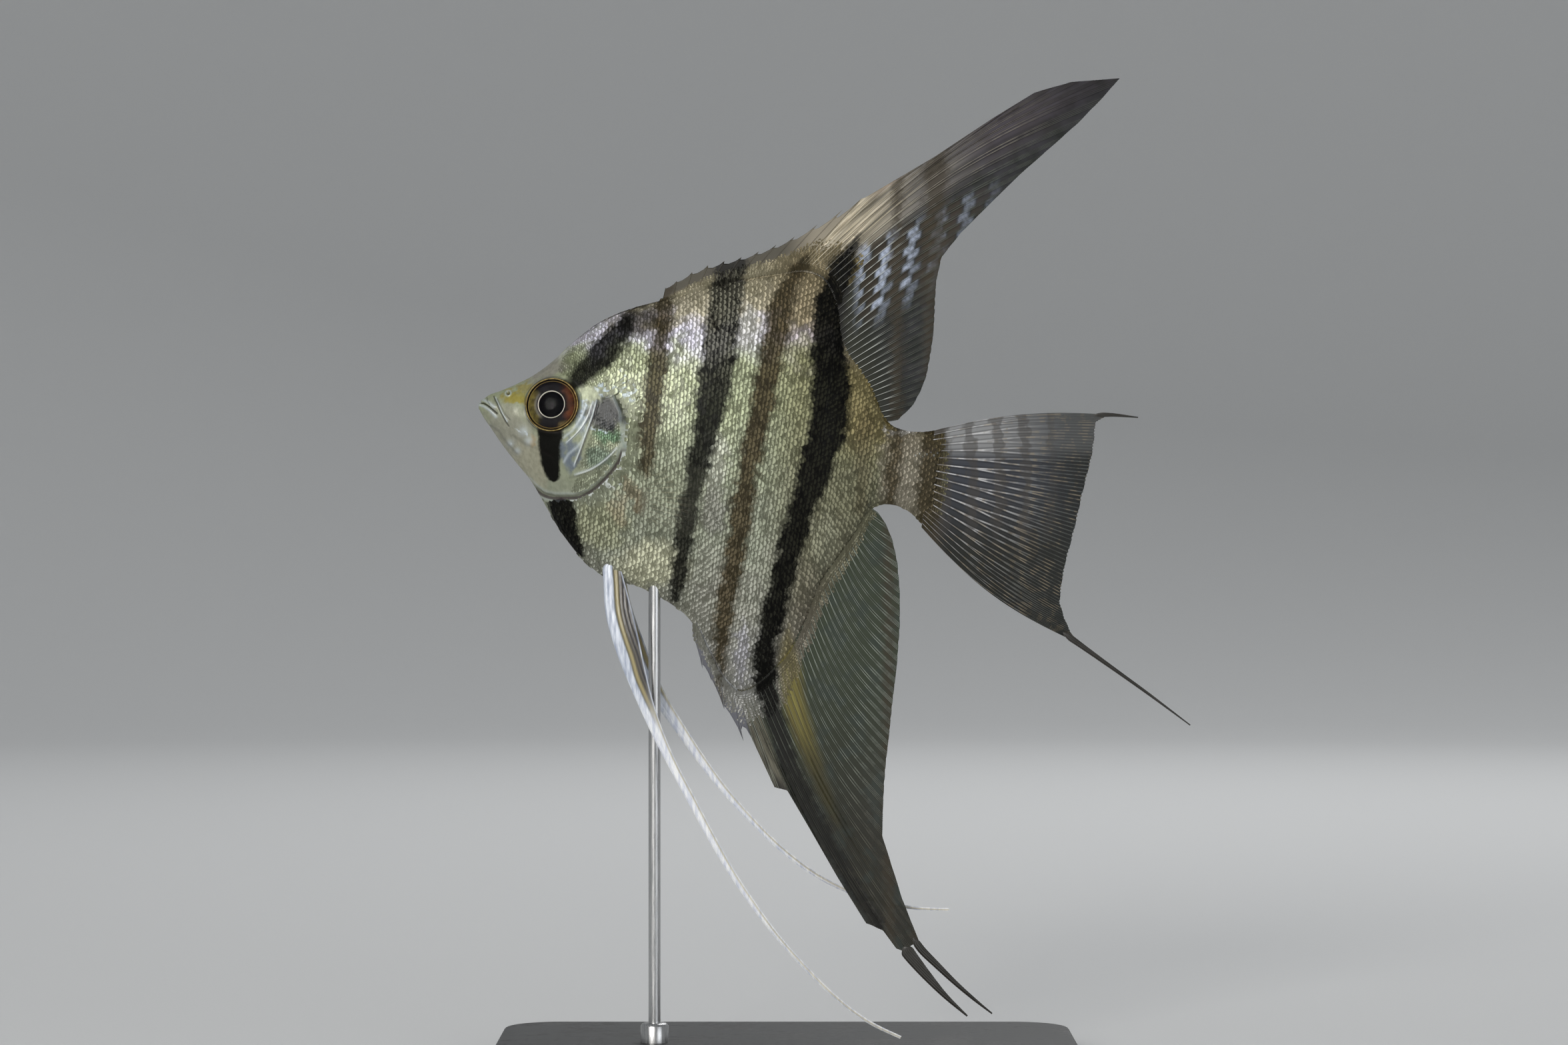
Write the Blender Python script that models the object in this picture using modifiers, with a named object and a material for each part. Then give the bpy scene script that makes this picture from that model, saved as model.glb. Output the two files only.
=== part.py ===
"""A freshwater angelfish, life size, held by a plain display stand.

The fish faces -X with its left side to -Y, and its axis tilts a little snout up. The tables
below are in millimetres; every object is made in metres. The origin is the middle of the
stand's underside.
"""

import math

import bmesh
import bpy
from mathutils import Matrix, Vector

MM = 0.001
GAP = 0.3  # clear space between neighbouring pieces
REACH = 12.0  # how far the cutters run past the midline, more than the fish's half-width
SHARP_ANGLE = math.radians(40)  # the stand's edges above this stay crisp

# Display stand
BASE_LENGTH, BASE_DEPTH, BASE_THICK = 96.0, 60.0, 4.0
BASE_CORNER, BASE_CORNER_STEPS = 9.0, 6
BASE_EDGE, BASE_EDGE_STEPS = 0.6, 2
ROD_RADIUS, ROD_X, ROD_TOP = 1.0, -21.8, 82.0
SOCKET_START = 60.0  # the cutter of the rod's socket starts this high, below the belly

# Sections of the body from the lips to the root of the tail fin:
# top x, top z, bottom x, bottom z, half-width, and how lens-like the section is
# (0.5 is an ellipse, 1 comes to a keel).
BODY = [
    (-50.4, 110.0, -51.0, 108.5, 1.0, 0.50),
    (-49.2, 111.0, -50.2, 107.0, 2.0, 0.50),
    (-47.3, 111.7, -48.7, 104.8, 2.8, 0.50),
    (-44.7, 112.8, -46.9, 102.2, 3.6, 0.52),
    (-41.8, 114.3, -44.8, 99.5, 4.4, 0.55),
    (-38.8, 116.5, -42.3, 96.4, 5.2, 0.56),
    (-35.8, 119.3, -39.8, 92.1, 5.9, 0.58),
    (-32.5, 121.9, -37.1, 87.6, 6.4, 0.59),
    (-29.0, 123.9, -33.4, 83.1, 6.8, 0.59),
    (-25.0, 125.4, -29.5, 80.4, 7.0, 0.59),
    (-20.5, 126.6, -24.6, 79.0, 7.1, 0.61),
    (-16.0, 128.1, -19.6, 76.4, 7.1, 0.68),
    (-11.0, 129.6, -15.9, 73.3, 7.0, 0.77),
    (-6.0, 130.7, -13.3, 68.2, 6.8, 0.87),
    (-1.2, 131.5, -11.0, 63.9, 6.5, 0.94),
    (3.0, 132.0, -7.9, 61.3, 6.1, 1.00),
    (6.6, 130.6, -4.4, 62.5, 5.7, 1.00),
    (8.7, 127.0, -1.4, 65.2, 5.3, 0.97),
    (9.2, 122.6, 1.3, 68.4, 4.9, 0.93),
    (10.3, 119.0, 3.6, 73.2, 4.5, 0.87),
    (12.2, 116.0, 5.9, 79.2, 4.1, 0.80),
    (14.1, 112.8, 8.9, 83.6, 3.7, 0.75),
    (15.6, 109.0, 11.7, 87.6, 3.3, 0.70),
    (16.9, 106.3, 14.1, 91.8, 3.0, 0.65),
    (19.3, 105.1, 17.2, 92.5, 2.6, 0.60),
    (22.2, 104.8, 20.3, 91.2, 2.1, 0.57),
    (25.6, 105.1, 23.2, 88.2, 1.2, 0.55),
]
SECTIONS_PER_ROW = 2
SIDE_POINTS = 12  # spaces from keel to back along one side of a section
WIDEST_RISE = 1.15  # over 1 puts the widest place above the middle of the section

# Lines that part the body, each a closed outline, anticlockwise seen from the left side
HEAD_REGION = [
    (-60, 88), (-43.5, 93.0), (-41.0, 94.6), (-38.2, 93.6), (-35.2, 93.6), (-32.6, 94.6),
    (-30.2, 96.7), (-28.1, 98.9), (-26.8, 101.4), (-26.2, 104.8), (-26.6, 109), (-28.2, 114),
    (-29.8, 120), (-30.6, 126), (-31, 135), (-60, 135),
]
JAW_REGION = [
    (-56, 109.6), (-56, 96), (-44.6, 97.6), (-43.6, 101.2), (-45.6, 105.4), (-47.6, 107.5),
    (-49.9, 109.3),
]
GILL_REGION = [
    (-42.5, 95.0), (-41, 90), (-22, 90), (-22, 112.2), (-30.4, 112.2), (-31.6, 108.6),
    (-34.3, 103.8), (-37.4, 100.2), (-40.4, 97.2),
]
TAIL_REGION = [(13.2, 84), (45, 84), (45, 114), (16.6, 114)]
GILL_FLOOR = 3.0  # distance from the midline to the inner face of a gill cover

# Eyes: flattened balls that look out square to the slope of the head
EYE_CENTRE = (-38.4, 4.4, 109.0)
EYE_RADIUS, EYE_HALF_DEPTH = 4.5, 2.1
EYE_FORWARD, EYE_UP = math.radians(10), math.radians(8)

# Fin rays. Each row: place of the root along the body table, tip x, tip z, and how far the
# ray bows to the left of its own direction. Between spines the membrane dips, and a dip is
# the share of the spines' length that it reaches.
FIN_CLEARANCE = 0.4  # from the body's outline to a fin's root
ROW_STEP = 0.05  # how far along the body table to look for the outline's direction
DORSAL_SPINES, DORSAL_SPINE_ROOTS, DORSAL_DIP = 12, (9.9, 14.5), 0.68
DORSAL_SPINE_TIPS = [(-20, 128.5), (-13.6, 132.0), (-6, 134.0), (2.2, 137.4), (12.3, 143.2)]
DORSAL_RAYS = [
    (14.62, 12.9, 143.4, 0.1), (14.90, 24.5, 150.2, 1.0), (15.10, 34.0, 156.5, 0.7),
    (15.30, 41.0, 160.8, 1.2), (15.50, 47.0, 162.5, 2.6), (15.70, 55.0, 163.1, 3.6),
    (15.95, 52.0, 159.7, 3.0), (16.25, 48.1, 155.7, 2.4), (16.60, 43.5, 151.6, 1.9),
    (17.00, 38.5, 147.2, 1.5), (17.45, 33.5, 142.3, 1.1), (17.90, 28.8, 137.6, 0.7),
    (18.35, 25.2, 132.9, 0.4), (18.80, 24.5, 128.2, 0.1), (19.30, 24.5, 123.8, 0.0),
    (19.85, 24.0, 119.3, 0.0), (20.45, 23.3, 115.2, 0.0), (21.05, 22.3, 111.9, -0.1),
    (21.70, 21.0, 109.4, -0.2), (22.30, 19.8, 107.8, -0.2), (22.80, 18.4, 106.7, 0.0),
]
ANAL_DIP = 0.72
ANAL_SPINES = [
    (12.10, -15.5, 71.6, 0.0), (12.50, -13.9, 65.6, 0.0), (13.00, -12.4, 63.6, 0.0),
    (13.70, -10.3, 58.9, 0.0), (14.45, -7.1, 53.6, 0.0), (14.80, -5.9, 54.4, 0.0),
]
ANAL_RAYS = [
    (15.05, -2.0, 46.0, 0.0), (15.20, 0.1, 45.5, 0.0), (15.35, 3.8, 39.2, -0.4),
    (15.50, 8.4, 31.2, -0.8), (15.65, 13.1, 23.6, -1.2), (15.80, 15.9, 22.4, -1.3),
    (15.95, 18.1, 19.4, -1.4), (16.10, 19.5, 18.9, -1.5), (16.30, 20.7, 20.0, -1.6),
    (16.50, 22.0, 20.3, -1.8), (16.75, 20.6, 23.8, -2.0), (17.00, 19.1, 27.6, -2.2),
    (17.25, 17.4, 33.0, -2.2), (17.50, 15.8, 38.3, -2.2), (17.75, 15.9, 43.3, -2.1),
    (18.00, 16.3, 48.0, -1.9), (18.30, 16.8, 52.8, -1.7), (18.60, 17.2, 57.6, -1.5),
    (18.95, 18.1, 62.4, -1.3), (19.35, 18.7, 67.2, -1.0), (19.80, 18.8, 72.0, -0.8),
    (20.35, 18.8, 77.0, -0.6), (21.00, 18.5, 81.8, -0.4), (21.70, 17.8, 85.9, -0.2),
    (22.30, 16.6, 89.2, 0.0), (22.80, 15.1, 91.4, 0.0),
]
# The tail fin's roots are fractions of the way down the end of the body.
CAUDAL_RAYS = [
    (0.00, 53.3, 107.6, 1.3), (0.06, 51.0, 106.3, 0.9), (0.14, 50.8, 103.6, 0.6),
    (0.22, 50.4, 100.8, 0.3), (0.31, 49.6, 97.6, 0.1), (0.40, 48.7, 94.0, 0.0),
    (0.49, 47.9, 90.3, 0.0), (0.58, 47.0, 86.7, 0.0), (0.67, 46.0, 83.0, -0.2),
    (0.75, 45.4, 79.6, -0.4), (0.82, 45.1, 76.6, -0.7), (0.88, 45.9, 73.9, -1.0),
    (0.94, 47.0, 71.5, -1.5), (1.00, 48.2, 69.8, -2.0),
]
# The pectoral fin fans from a short root on the flank; the last two values are the
# distances from the midline of the root and of the tips.
PECTORAL_ROOT = ((-26.0, 96.5), (-25.3, 91.7))
PECTORAL_TIPS = [
    (-16.8, 100.2), (-13.6, 98.7), (-11.5, 96.5), (-10.5, 93.8), (-10.7, 91.2),
    (-12.2, 88.9), (-14.9, 87.4), (-18.4, 87.2),
]
PECTORAL_ROOT_Y, PECTORAL_TIP_Y = 6.9, 10.4

RAY_STEPS = 5
FIN_ROOT_THICK, FIN_RIM_THICK = 1.0, 0.55

# Blades that taper to a tip, each row: x, y, z, width in the plane of the fish, thickness
PELVIC_LEFT = [
    (-28.5, -1.5, 80.2, 3.4, 1.4), (-27.6, -2.3, 75.0, 4.4, 1.2), (-26.3, -2.9, 70.0, 4.2, 1.0),
    (-24.8, -3.2, 65.0, 3.4, 0.9), (-23.1, -3.4, 60.0, 2.5, 0.8), (-21.1, -3.6, 55.0, 1.9, 0.8),
    (-18.6, -3.8, 49.8, 1.5, 0.8), (-15.5, -4.0, 44.0, 1.4, 0.8), (-12.4, -4.2, 38.2, 1.3, 0.7),
    (-9.1, -4.3, 32.5, 1.1, 0.7), (-5.4, -4.4, 27.0, 1.0, 0.6), (-1.3, -4.5, 21.6, 0.8, 0.6),
    (3.4, -4.5, 16.4, 0.7, 0.6), (8.4, -4.5, 11.6, 0.6, 0.5), (13.4, -4.5, 7.9, 0.55, 0.5),
    (18.7, -4.5, 5.3, 0.5, 0.5),
]
PELVIC_RIGHT = [
    (-27.6, 1.5, 79.6, 2.2, 1.4), (-26.7, 2.4, 75.0, 2.5, 1.2), (-25.1, 3.2, 70.0, 2.7, 1.0),
    (-23.3, 3.8, 65.2, 2.7, 0.9), (-20.9, 4.2, 60.4, 2.3, 0.8), (-17.6, 4.6, 55.4, 1.8, 0.8),
    (-14.2, 4.9, 50.4, 1.5, 0.8), (-10.3, 5.2, 45.3, 1.2, 0.7), (-6.0, 5.4, 40.5, 1.0, 0.7),
    (-1.1, 5.5, 35.7, 0.9, 0.6), (4.2, 5.5, 31.6, 0.8, 0.6), (9.6, 5.5, 28.7, 0.7, 0.6),
    (15.2, 5.4, 26.8, 0.6, 0.5), (21.0, 5.3, 25.7, 0.55, 0.5), (27.0, 5.2, 25.4, 0.5, 0.5),
]
PELVIC_PARTING = 6  # the row where a pelvic fin turns into its streamer
PELVIC_GAP = 0.45  # along the slanting parting, which leaves more than GAP between the faces
STREAMERS = {
    "anal_streamer_front": [
        (20.4, 0, 17.9, 1.4, 0.6), (23.0, 0, 14.9, 1.2, 0.6), (26.2, 0, 11.6, 0.9, 0.5),
        (29.8, 0, 8.3, 0.5, 0.5),
    ],
    "anal_streamer_rear": [
        (22.3, 0, 19.2, 1.3, 0.6), (24.9, 0, 16.6, 1.1, 0.6), (27.8, 0, 13.8, 0.8, 0.5),
        (30.9, 0, 11.1, 0.6, 0.5), (33.9, 0, 8.7, 0.5, 0.5),
    ],
    "caudal_streamer_upper": [(53.9, 0, 107.5, 0.7, 0.5), (58.0, 0, 107.1, 0.5, 0.5)],
    "caudal_streamer_lower": [
        (48.8, 0, 69.3, 0.9, 0.6), (54.8, 0, 65.0, 0.65, 0.5), (60.2, 0, 61.1, 0.55, 0.5),
        (66.6, 0, 56.3, 0.5, 0.5),
    ],
}
BLADE_SIDES = 6

# Finishes: colour, roughness, metallic
FINISHES = {
    "skin_silver": ((0.30, 0.31, 0.24), 0.40, 0.25),
    "cheek_silver": ((0.34, 0.36, 0.29), 0.32, 0.35),
    "jaw_grey": ((0.24, 0.23, 0.19), 0.45, 0.10),
    "eye_dark": ((0.02, 0.02, 0.03), 0.08, 0.00),
    "fin_dusky": ((0.09, 0.09, 0.075), 0.50, 0.00),
    "fin_tail": ((0.14, 0.14, 0.14), 0.50, 0.00),
    "fin_clear": ((0.42, 0.41, 0.34), 0.35, 0.00),
    "pelvic_white": ((0.70, 0.74, 0.82), 0.40, 0.00),
    "stand_black": ((0.03, 0.03, 0.032), 0.45, 0.60),
    "stand_steel": ((0.55, 0.55, 0.56), 0.28, 1.00),
}


def clear_scene():
    for obj in list(bpy.data.objects):
        bpy.data.objects.remove(obj, do_unlink=True)


def new_collection(name, hidden=False):
    collection = bpy.data.collections.new(name)
    collection.hide_render = hidden
    bpy.context.scene.collection.children.link(collection)
    return collection


def finish(name):
    if name in bpy.data.materials:
        return bpy.data.materials[name]
    colour, roughness, metallic = FINISHES[name]
    material = bpy.data.materials.new(name)
    material.use_nodes = True
    shader = material.node_tree.nodes["Principled BSDF"]
    shader.inputs["Base Color"].default_value = (*colour, 1.0)
    shader.inputs["Roughness"].default_value = roughness
    shader.inputs["Metallic"].default_value = metallic
    return material


def mesh_from(name, work):
    """The bmesh as a mesh, with its faces pointing out."""
    bmesh.ops.recalc_face_normals(work, faces=work.faces)
    mesh = bpy.data.meshes.new(name)
    work.to_mesh(mesh)
    work.free()
    return mesh


def add_piece(name, mesh, finish_name):
    piece = bpy.data.objects.new(name, mesh)
    piece.data.materials.append(finish(finish_name))
    piece.data.shade_smooth()
    bpy.data.collections["angelfish"].objects.link(piece)
    return piece


def add_cutter(name, mesh):
    cutter = bpy.data.objects.new(name, mesh)
    cutter.hide_render = True
    cutter.display_type = "WIRE"
    bpy.data.collections["cutters"].objects.link(cutter)
    return cutter


def cut(piece, cutter, operation="DIFFERENCE"):
    modifier = piece.modifiers.new(cutter.name, "BOOLEAN")
    modifier.operation = operation
    modifier.object = cutter
    modifier.solver = "EXACT"


def smooth_row(rows, place):
    """The row at place, from 0 to len(rows) - 1, on a smooth curve through all the rows."""
    last = len(rows) - 1
    index = min(int(place), last - 1)
    part = place - index
    before, start = rows[max(index - 1, 0)], rows[index]
    end, after = rows[index + 1], rows[min(index + 2, last)]
    weights = (
        (-part + 2 * part**2 - part**3) / 2,
        (2 - 5 * part**2 + 3 * part**3) / 2,
        (part + 4 * part**2 - 3 * part**3) / 2,
        (part**3 - part**2) / 2,
    )
    return [
        sum(weight * value for weight, value in zip(weights, values))
        for values in zip(before, start, end, after)
    ]


def section_ring(row):
    """The points of one closed section of the body, up the left side and down the right."""
    top_x, top_z, bottom_x, bottom_z, half_width, lens = row
    top, bottom = Vector((top_x, 0, top_z)), Vector((bottom_x, 0, bottom_z))
    heights = [(1 - math.cos(math.pi * i / SIDE_POINTS)) / 2 for i in range(1, SIDE_POINTS)]
    left, right = [], []
    for height in heights:
        middle = bottom.lerp(top, height)
        width = half_width * math.sin(math.pi * height**WIDEST_RISE) ** lens
        left.append(middle + Vector((0, -width, 0)))
        right.append(middle + Vector((0, width, 0)))
    return [bottom, *left, top, *reversed(right)]


def loft(name, rings):
    """A closed mesh through rings with equal counts of points, capped at both ends."""
    work = bmesh.new()
    rows = [[work.verts.new(point * MM) for point in ring] for ring in rings]
    count = len(rows[0])
    for row, following in zip(rows, rows[1:]):
        for i in range(count):
            j = (i + 1) % count
            work.faces.new((row[i], row[j], following[j], following[i]))
    work.faces.new(rows[0])
    work.faces.new(rows[-1])
    return mesh_from(name, work)


def body_mesh():
    count = (len(BODY) - 1) * SECTIONS_PER_ROW
    rows = [smooth_row(BODY, i / SECTIONS_PER_ROW) for i in range(count + 1)]
    return loft("whole_body", [section_ring(row) for row in rows])


def grown(outline, amount):
    """The outline with each edge moved outwards by amount."""
    corners = [Vector(corner) for corner in outline]
    moved = []
    for i, corner in enumerate(corners):
        came = (corner - corners[i - 1]).normalized()
        goes = (corners[(i + 1) % len(corners)] - corner).normalized()
        out_came, out_goes = Vector((came.y, -came.x)), Vector((goes.y, -goes.x))
        moved.append(corner + (out_came + out_goes) * amount / (1 + out_came.dot(out_goes)))
    return moved


def prism(name, outline, y_low=-REACH, y_high=REACH):
    """A cutter: the outline in the plane of the fish, run from y_low to y_high."""
    work = bmesh.new()
    face = work.faces.new([work.verts.new(Vector((x, y_low, z)) * MM) for x, z in outline])
    run = bmesh.ops.extrude_face_region(work, geom=[face])["geom"]
    moved = [item for item in run if isinstance(item, bmesh.types.BMVert)]
    bmesh.ops.translate(work, verts=moved, vec=(0, (y_high - y_low) * MM, 0))
    return add_cutter(name, mesh_from(name, work))


def eye_mesh(name, sign, extra):
    """A flattened ball in the right eye's place, or in the left one's where sign is -1."""
    work = bmesh.new()
    bmesh.ops.create_uvsphere(work, u_segments=20, v_segments=10, radius=MM)
    poles = Matrix.Rotation(math.pi / 2, 4, "X")
    radius, half_depth = EYE_RADIUS + extra, EYE_HALF_DEPTH + extra
    stretch = Matrix.Diagonal((radius, half_depth, radius, 1))
    turn = Matrix.Rotation(EYE_FORWARD, 4, "Z") @ Matrix.Rotation(EYE_UP, 4, "X")
    place = Matrix.Translation(Vector(EYE_CENTRE) * MM)
    mirror = Matrix.Diagonal((1, sign, 1, 1))
    bmesh.ops.transform(work, matrix=mirror @ place @ turn @ stretch @ poles, verts=work.verts)
    return mesh_from(name, work)


def rod_mesh(name, radius, z_low, z_high):
    work = bmesh.new()
    bmesh.ops.create_cone(
        work, cap_ends=True, segments=24, radius1=radius * MM, radius2=radius * MM,
        depth=(z_high - z_low) * MM,
    )
    middle = Vector((ROD_X, 0, (z_low + z_high) / 2)) * MM
    bmesh.ops.translate(work, verts=work.verts, vec=middle)
    return mesh_from(name, work)


def make_flesh(whole):
    """Parts the body into head, lower jaw, gill covers, trunk and tail stem."""
    half = GAP / 2
    head_inside = prism("head_inside", grown(HEAD_REGION, -half))
    head_outside = prism("head_outside", grown(HEAD_REGION, half))
    tail_inside = prism("tail_inside", grown(TAIL_REGION, -half))
    tail_outside = prism("tail_outside", grown(TAIL_REGION, half))
    jaw_inside = prism("jaw_inside", grown(JAW_REGION, -half))
    jaw_outside = prism("jaw_outside", grown(JAW_REGION, half))
    rod_hole = rod_mesh("rod_socket", ROD_RADIUS + GAP, SOCKET_START, ROD_TOP + GAP)
    rod_socket = add_cutter("rod_socket", rod_hole)

    head = add_piece("head", whole.copy(), "skin_silver")
    cut(head, head_inside, "INTERSECT")
    cut(head, jaw_outside)
    jaw = add_piece("lower_jaw", whole.copy(), "jaw_grey")
    cut(jaw, jaw_inside, "INTERSECT")
    for side, sign in (("left", -1), ("right", 1)):
        cut(head, gill_prism(f"gill_pocket_{side}", half, GILL_FLOOR - GAP, sign))
        socket = f"eye_socket_{side}"
        cut(head, add_cutter(socket, eye_mesh(socket, sign, GAP)))
        cover = add_piece(f"gill_cover_{side}", whole.copy(), "cheek_silver")
        cut(cover, head_inside, "INTERSECT")
        cut(cover, gill_prism(f"gill_plate_{side}", -half, GILL_FLOOR, sign), "INTERSECT")
    trunk = add_piece("trunk", whole.copy(), "skin_silver")
    for cutter in (head_outside, tail_outside, rod_socket):
        cut(trunk, cutter)
    cut(add_piece("tail_stem", whole.copy(), "skin_silver"), tail_inside, "INTERSECT")


def gill_prism(name, growth, floor, sign):
    low, high = sorted((sign * floor, sign * REACH))
    return prism(name, grown(GILL_REGION, growth), low, high)


def edge_point(place, side):
    """A fin root just clear of the body's outline: side is 1 for the back, -1 for the belly."""
    first = 0 if side > 0 else 2
    here = Vector(smooth_row(BODY, place)[first:first + 2])
    ahead = Vector(smooth_row(BODY, place + ROW_STEP)[first:first + 2])
    along = (ahead - here).normalized()
    return here + Vector((-along.y, along.x)) * side * FIN_CLEARANCE


def ray_points(root, tip, bow):
    """Points from root to tip in the plane of the fish, bowed to the left of their run."""
    run = tip - root
    left = Vector((-run.y, run.x)).normalized()
    steps = [i / RAY_STEPS for i in range(RAY_STEPS + 1)]
    return [root + run * t + left * bow * math.sin(math.pi * t) for t in steps]


def web(name, rays, finish_name, depth_at=lambda t: 0.0):
    """A fin: a sheet through its rays, thick at the roots and thin at the rim."""
    work = bmesh.new()
    weight = work.verts.layers.deform.verify()
    columns = []
    for ray in rays:
        column = []
        for i, point in enumerate(ray):
            t = i / RAY_STEPS
            vert = work.verts.new(Vector((point.x, depth_at(t), point.y)) * MM)
            vert[weight][0] = 1 - t
            column.append(vert)
        columns.append(column)
    for column, following in zip(columns, columns[1:]):
        for i in range(RAY_STEPS):
            work.faces.new((column[i], column[i + 1], following[i + 1], following[i]))
    fin = add_piece(name, mesh_from(name, work), finish_name)
    fin.vertex_groups.new(name="root")
    thicken = fin.modifiers.new("thicken", "SOLIDIFY")
    thicken.thickness = FIN_ROOT_THICK * MM
    thicken.offset = 0
    thicken.vertex_group = "root"
    thicken.thickness_vertex_group = FIN_RIM_THICK / FIN_ROOT_THICK
    return fin


def edge_rays(rows, side):
    return [
        ray_points(edge_point(place, side), Vector((x, z)), bow) for place, x, z, bow in rows
    ]


def with_dips(rows, side, reach):
    """The rows with a shorter one between each pair, so that the tips stand out like spines."""
    result = []
    for row, following in zip(rows, rows[1:]):
        place, x, z, bow = [(a + b) / 2 for a, b in zip(row, following)]
        root = edge_point(place, side)
        dip = root + (Vector((x, z)) - root) * reach
        result += [row, (place, dip.x, dip.y, bow)]
    return [*result, rows[-1]]


def make_edge_fins():
    first, last = DORSAL_SPINE_ROOTS
    rows = []
    for i in range(DORSAL_SPINES):
        share = i / (DORSAL_SPINES - 1)
        tip = smooth_row(DORSAL_SPINE_TIPS, share * (len(DORSAL_SPINE_TIPS) - 1))
        rows.append((first + (last - first) * share, *tip, 0.0))
    web("dorsal_spines", edge_rays(with_dips(rows, 1, DORSAL_DIP), 1), "fin_dusky")
    web("dorsal_fin", edge_rays(DORSAL_RAYS, 1), "fin_dusky")
    web("anal_spines", edge_rays(with_dips(ANAL_SPINES, -1, ANAL_DIP), -1), "fin_dusky")
    web("anal_fin", edge_rays(ANAL_RAYS, -1), "fin_dusky")


def make_tail_fin():
    top_x, top_z, bottom_x, bottom_z = BODY[-1][:4]
    top, bottom = Vector((top_x, top_z)), Vector((bottom_x, bottom_z))
    clear = Vector((GAP, 0))
    rays = [
        ray_points(top.lerp(bottom, share) + clear, Vector((x, z)), bow)
        for share, x, z, bow in CAUDAL_RAYS
    ]
    web("caudal_fin", rays, "fin_tail")


def make_pectoral_fins():
    top, bottom = Vector(PECTORAL_ROOT[0]), Vector(PECTORAL_ROOT[1])
    last = len(PECTORAL_TIPS) - 1
    rays = [
        ray_points(top.lerp(bottom, i / last), Vector(tip), 0.0)
        for i, tip in enumerate(PECTORAL_TIPS)
    ]
    for side, sign in (("left", -1), ("right", 1)):
        def depth_at(t, sign=sign):
            return sign * (PECTORAL_ROOT_Y + (PECTORAL_TIP_Y - PECTORAL_ROOT_Y) * t)

        web(f"pectoral_fin_{side}", rays, "fin_clear", depth_at)


def blade(name, rows, finish_name):
    """A tapering blade along the rows, flattened towards the plane of the fish."""
    count = (len(rows) - 1) * 2
    fine = [smooth_row(rows, i / 2) for i in range(count + 1)]
    points = [Vector(row[:3]) for row in fine]
    rings = []
    for i, (point, row) in enumerate(zip(points, fine)):
        along = points[min(i + 1, count)] - points[max(i - 1, 0)]
        across = along.cross(Vector((0, 1, 0))).normalized() * row[3] / 2
        out = Vector((0, row[4] / 2, 0))
        turns = [2 * math.pi * k / BLADE_SIDES for k in range(BLADE_SIDES)]
        rings.append([point + across * math.cos(turn) + out * math.sin(turn) for turn in turns])
    return add_piece(name, loft(name, rings), finish_name)


def make_pelvic_fins():
    for side, rows in (("left", PELVIC_LEFT), ("right", PELVIC_RIGHT)):
        x, y, z, width, thick = rows[PELVIC_PARTING]
        run = Vector(rows[PELVIC_PARTING + 1][:3]) - Vector((x, y, z))
        start = Vector((x, y, z)) + run.normalized() * PELVIC_GAP
        blade(f"pelvic_fin_{side}", rows[:PELVIC_PARTING + 1], "pelvic_white")
        streamer = [(*start, width, thick), *rows[PELVIC_PARTING + 1:]]
        blade(f"pelvic_streamer_{side}", streamer, "pelvic_white")


def make_streamers():
    for name, rows in STREAMERS.items():
        blade(name, rows, "fin_tail" if name.startswith("caudal") else "fin_dusky")


def make_eyes():
    for side, sign in (("left", -1), ("right", 1)):
        name = f"eye_{side}"
        add_piece(name, eye_mesh(name, sign, 0.0), "eye_dark")


def round_edges(work, edges, radius, steps):
    bmesh.ops.bevel(
        work, geom=edges, offset=radius * MM, segments=steps, affect="EDGES", profile=0.5,
    )


def make_base():
    work = bmesh.new()
    bmesh.ops.create_cube(work, size=1.0)
    size = Vector((BASE_LENGTH, BASE_DEPTH, BASE_THICK)) * MM
    bmesh.ops.scale(work, vec=size, verts=work.verts)
    bmesh.ops.translate(work, vec=(0, 0, size.z / 2), verts=work.verts)
    uprights = [e for e in work.edges if abs(e.verts[0].co.z - e.verts[1].co.z) > size.z / 2]
    round_edges(work, uprights, BASE_CORNER, BASE_CORNER_STEPS)
    rim = [e for e in work.edges if min(v.co.z for v in e.verts) > size.z / 2]
    round_edges(work, rim, BASE_EDGE, BASE_EDGE_STEPS)
    base = add_piece("stand_base", mesh_from("stand_base", work), "stand_black")
    base.data.set_sharp_from_angle(angle=SHARP_ANGLE)


def make_rod():
    mesh = rod_mesh("stand_rod", ROD_RADIUS, BASE_THICK + GAP, ROD_TOP)
    rod = add_piece("stand_rod", mesh, "stand_steel")
    rod.data.set_sharp_from_angle(angle=SHARP_ANGLE)


def main():
    clear_scene()
    new_collection("angelfish")
    new_collection("cutters", hidden=True)
    make_flesh(body_mesh())
    make_eyes()
    make_edge_fins()
    make_tail_fin()
    make_pectoral_fins()
    make_pelvic_fins()
    make_streamers()
    make_base()
    make_rod()


main()
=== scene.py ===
"""The looks of a freshwater angelfish on its display stand.

The tables are in millimetres and every piece is made in metres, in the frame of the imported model.
The fish faces -X with its left side to -Y, and the tables describe that side.
"""

import math

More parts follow.
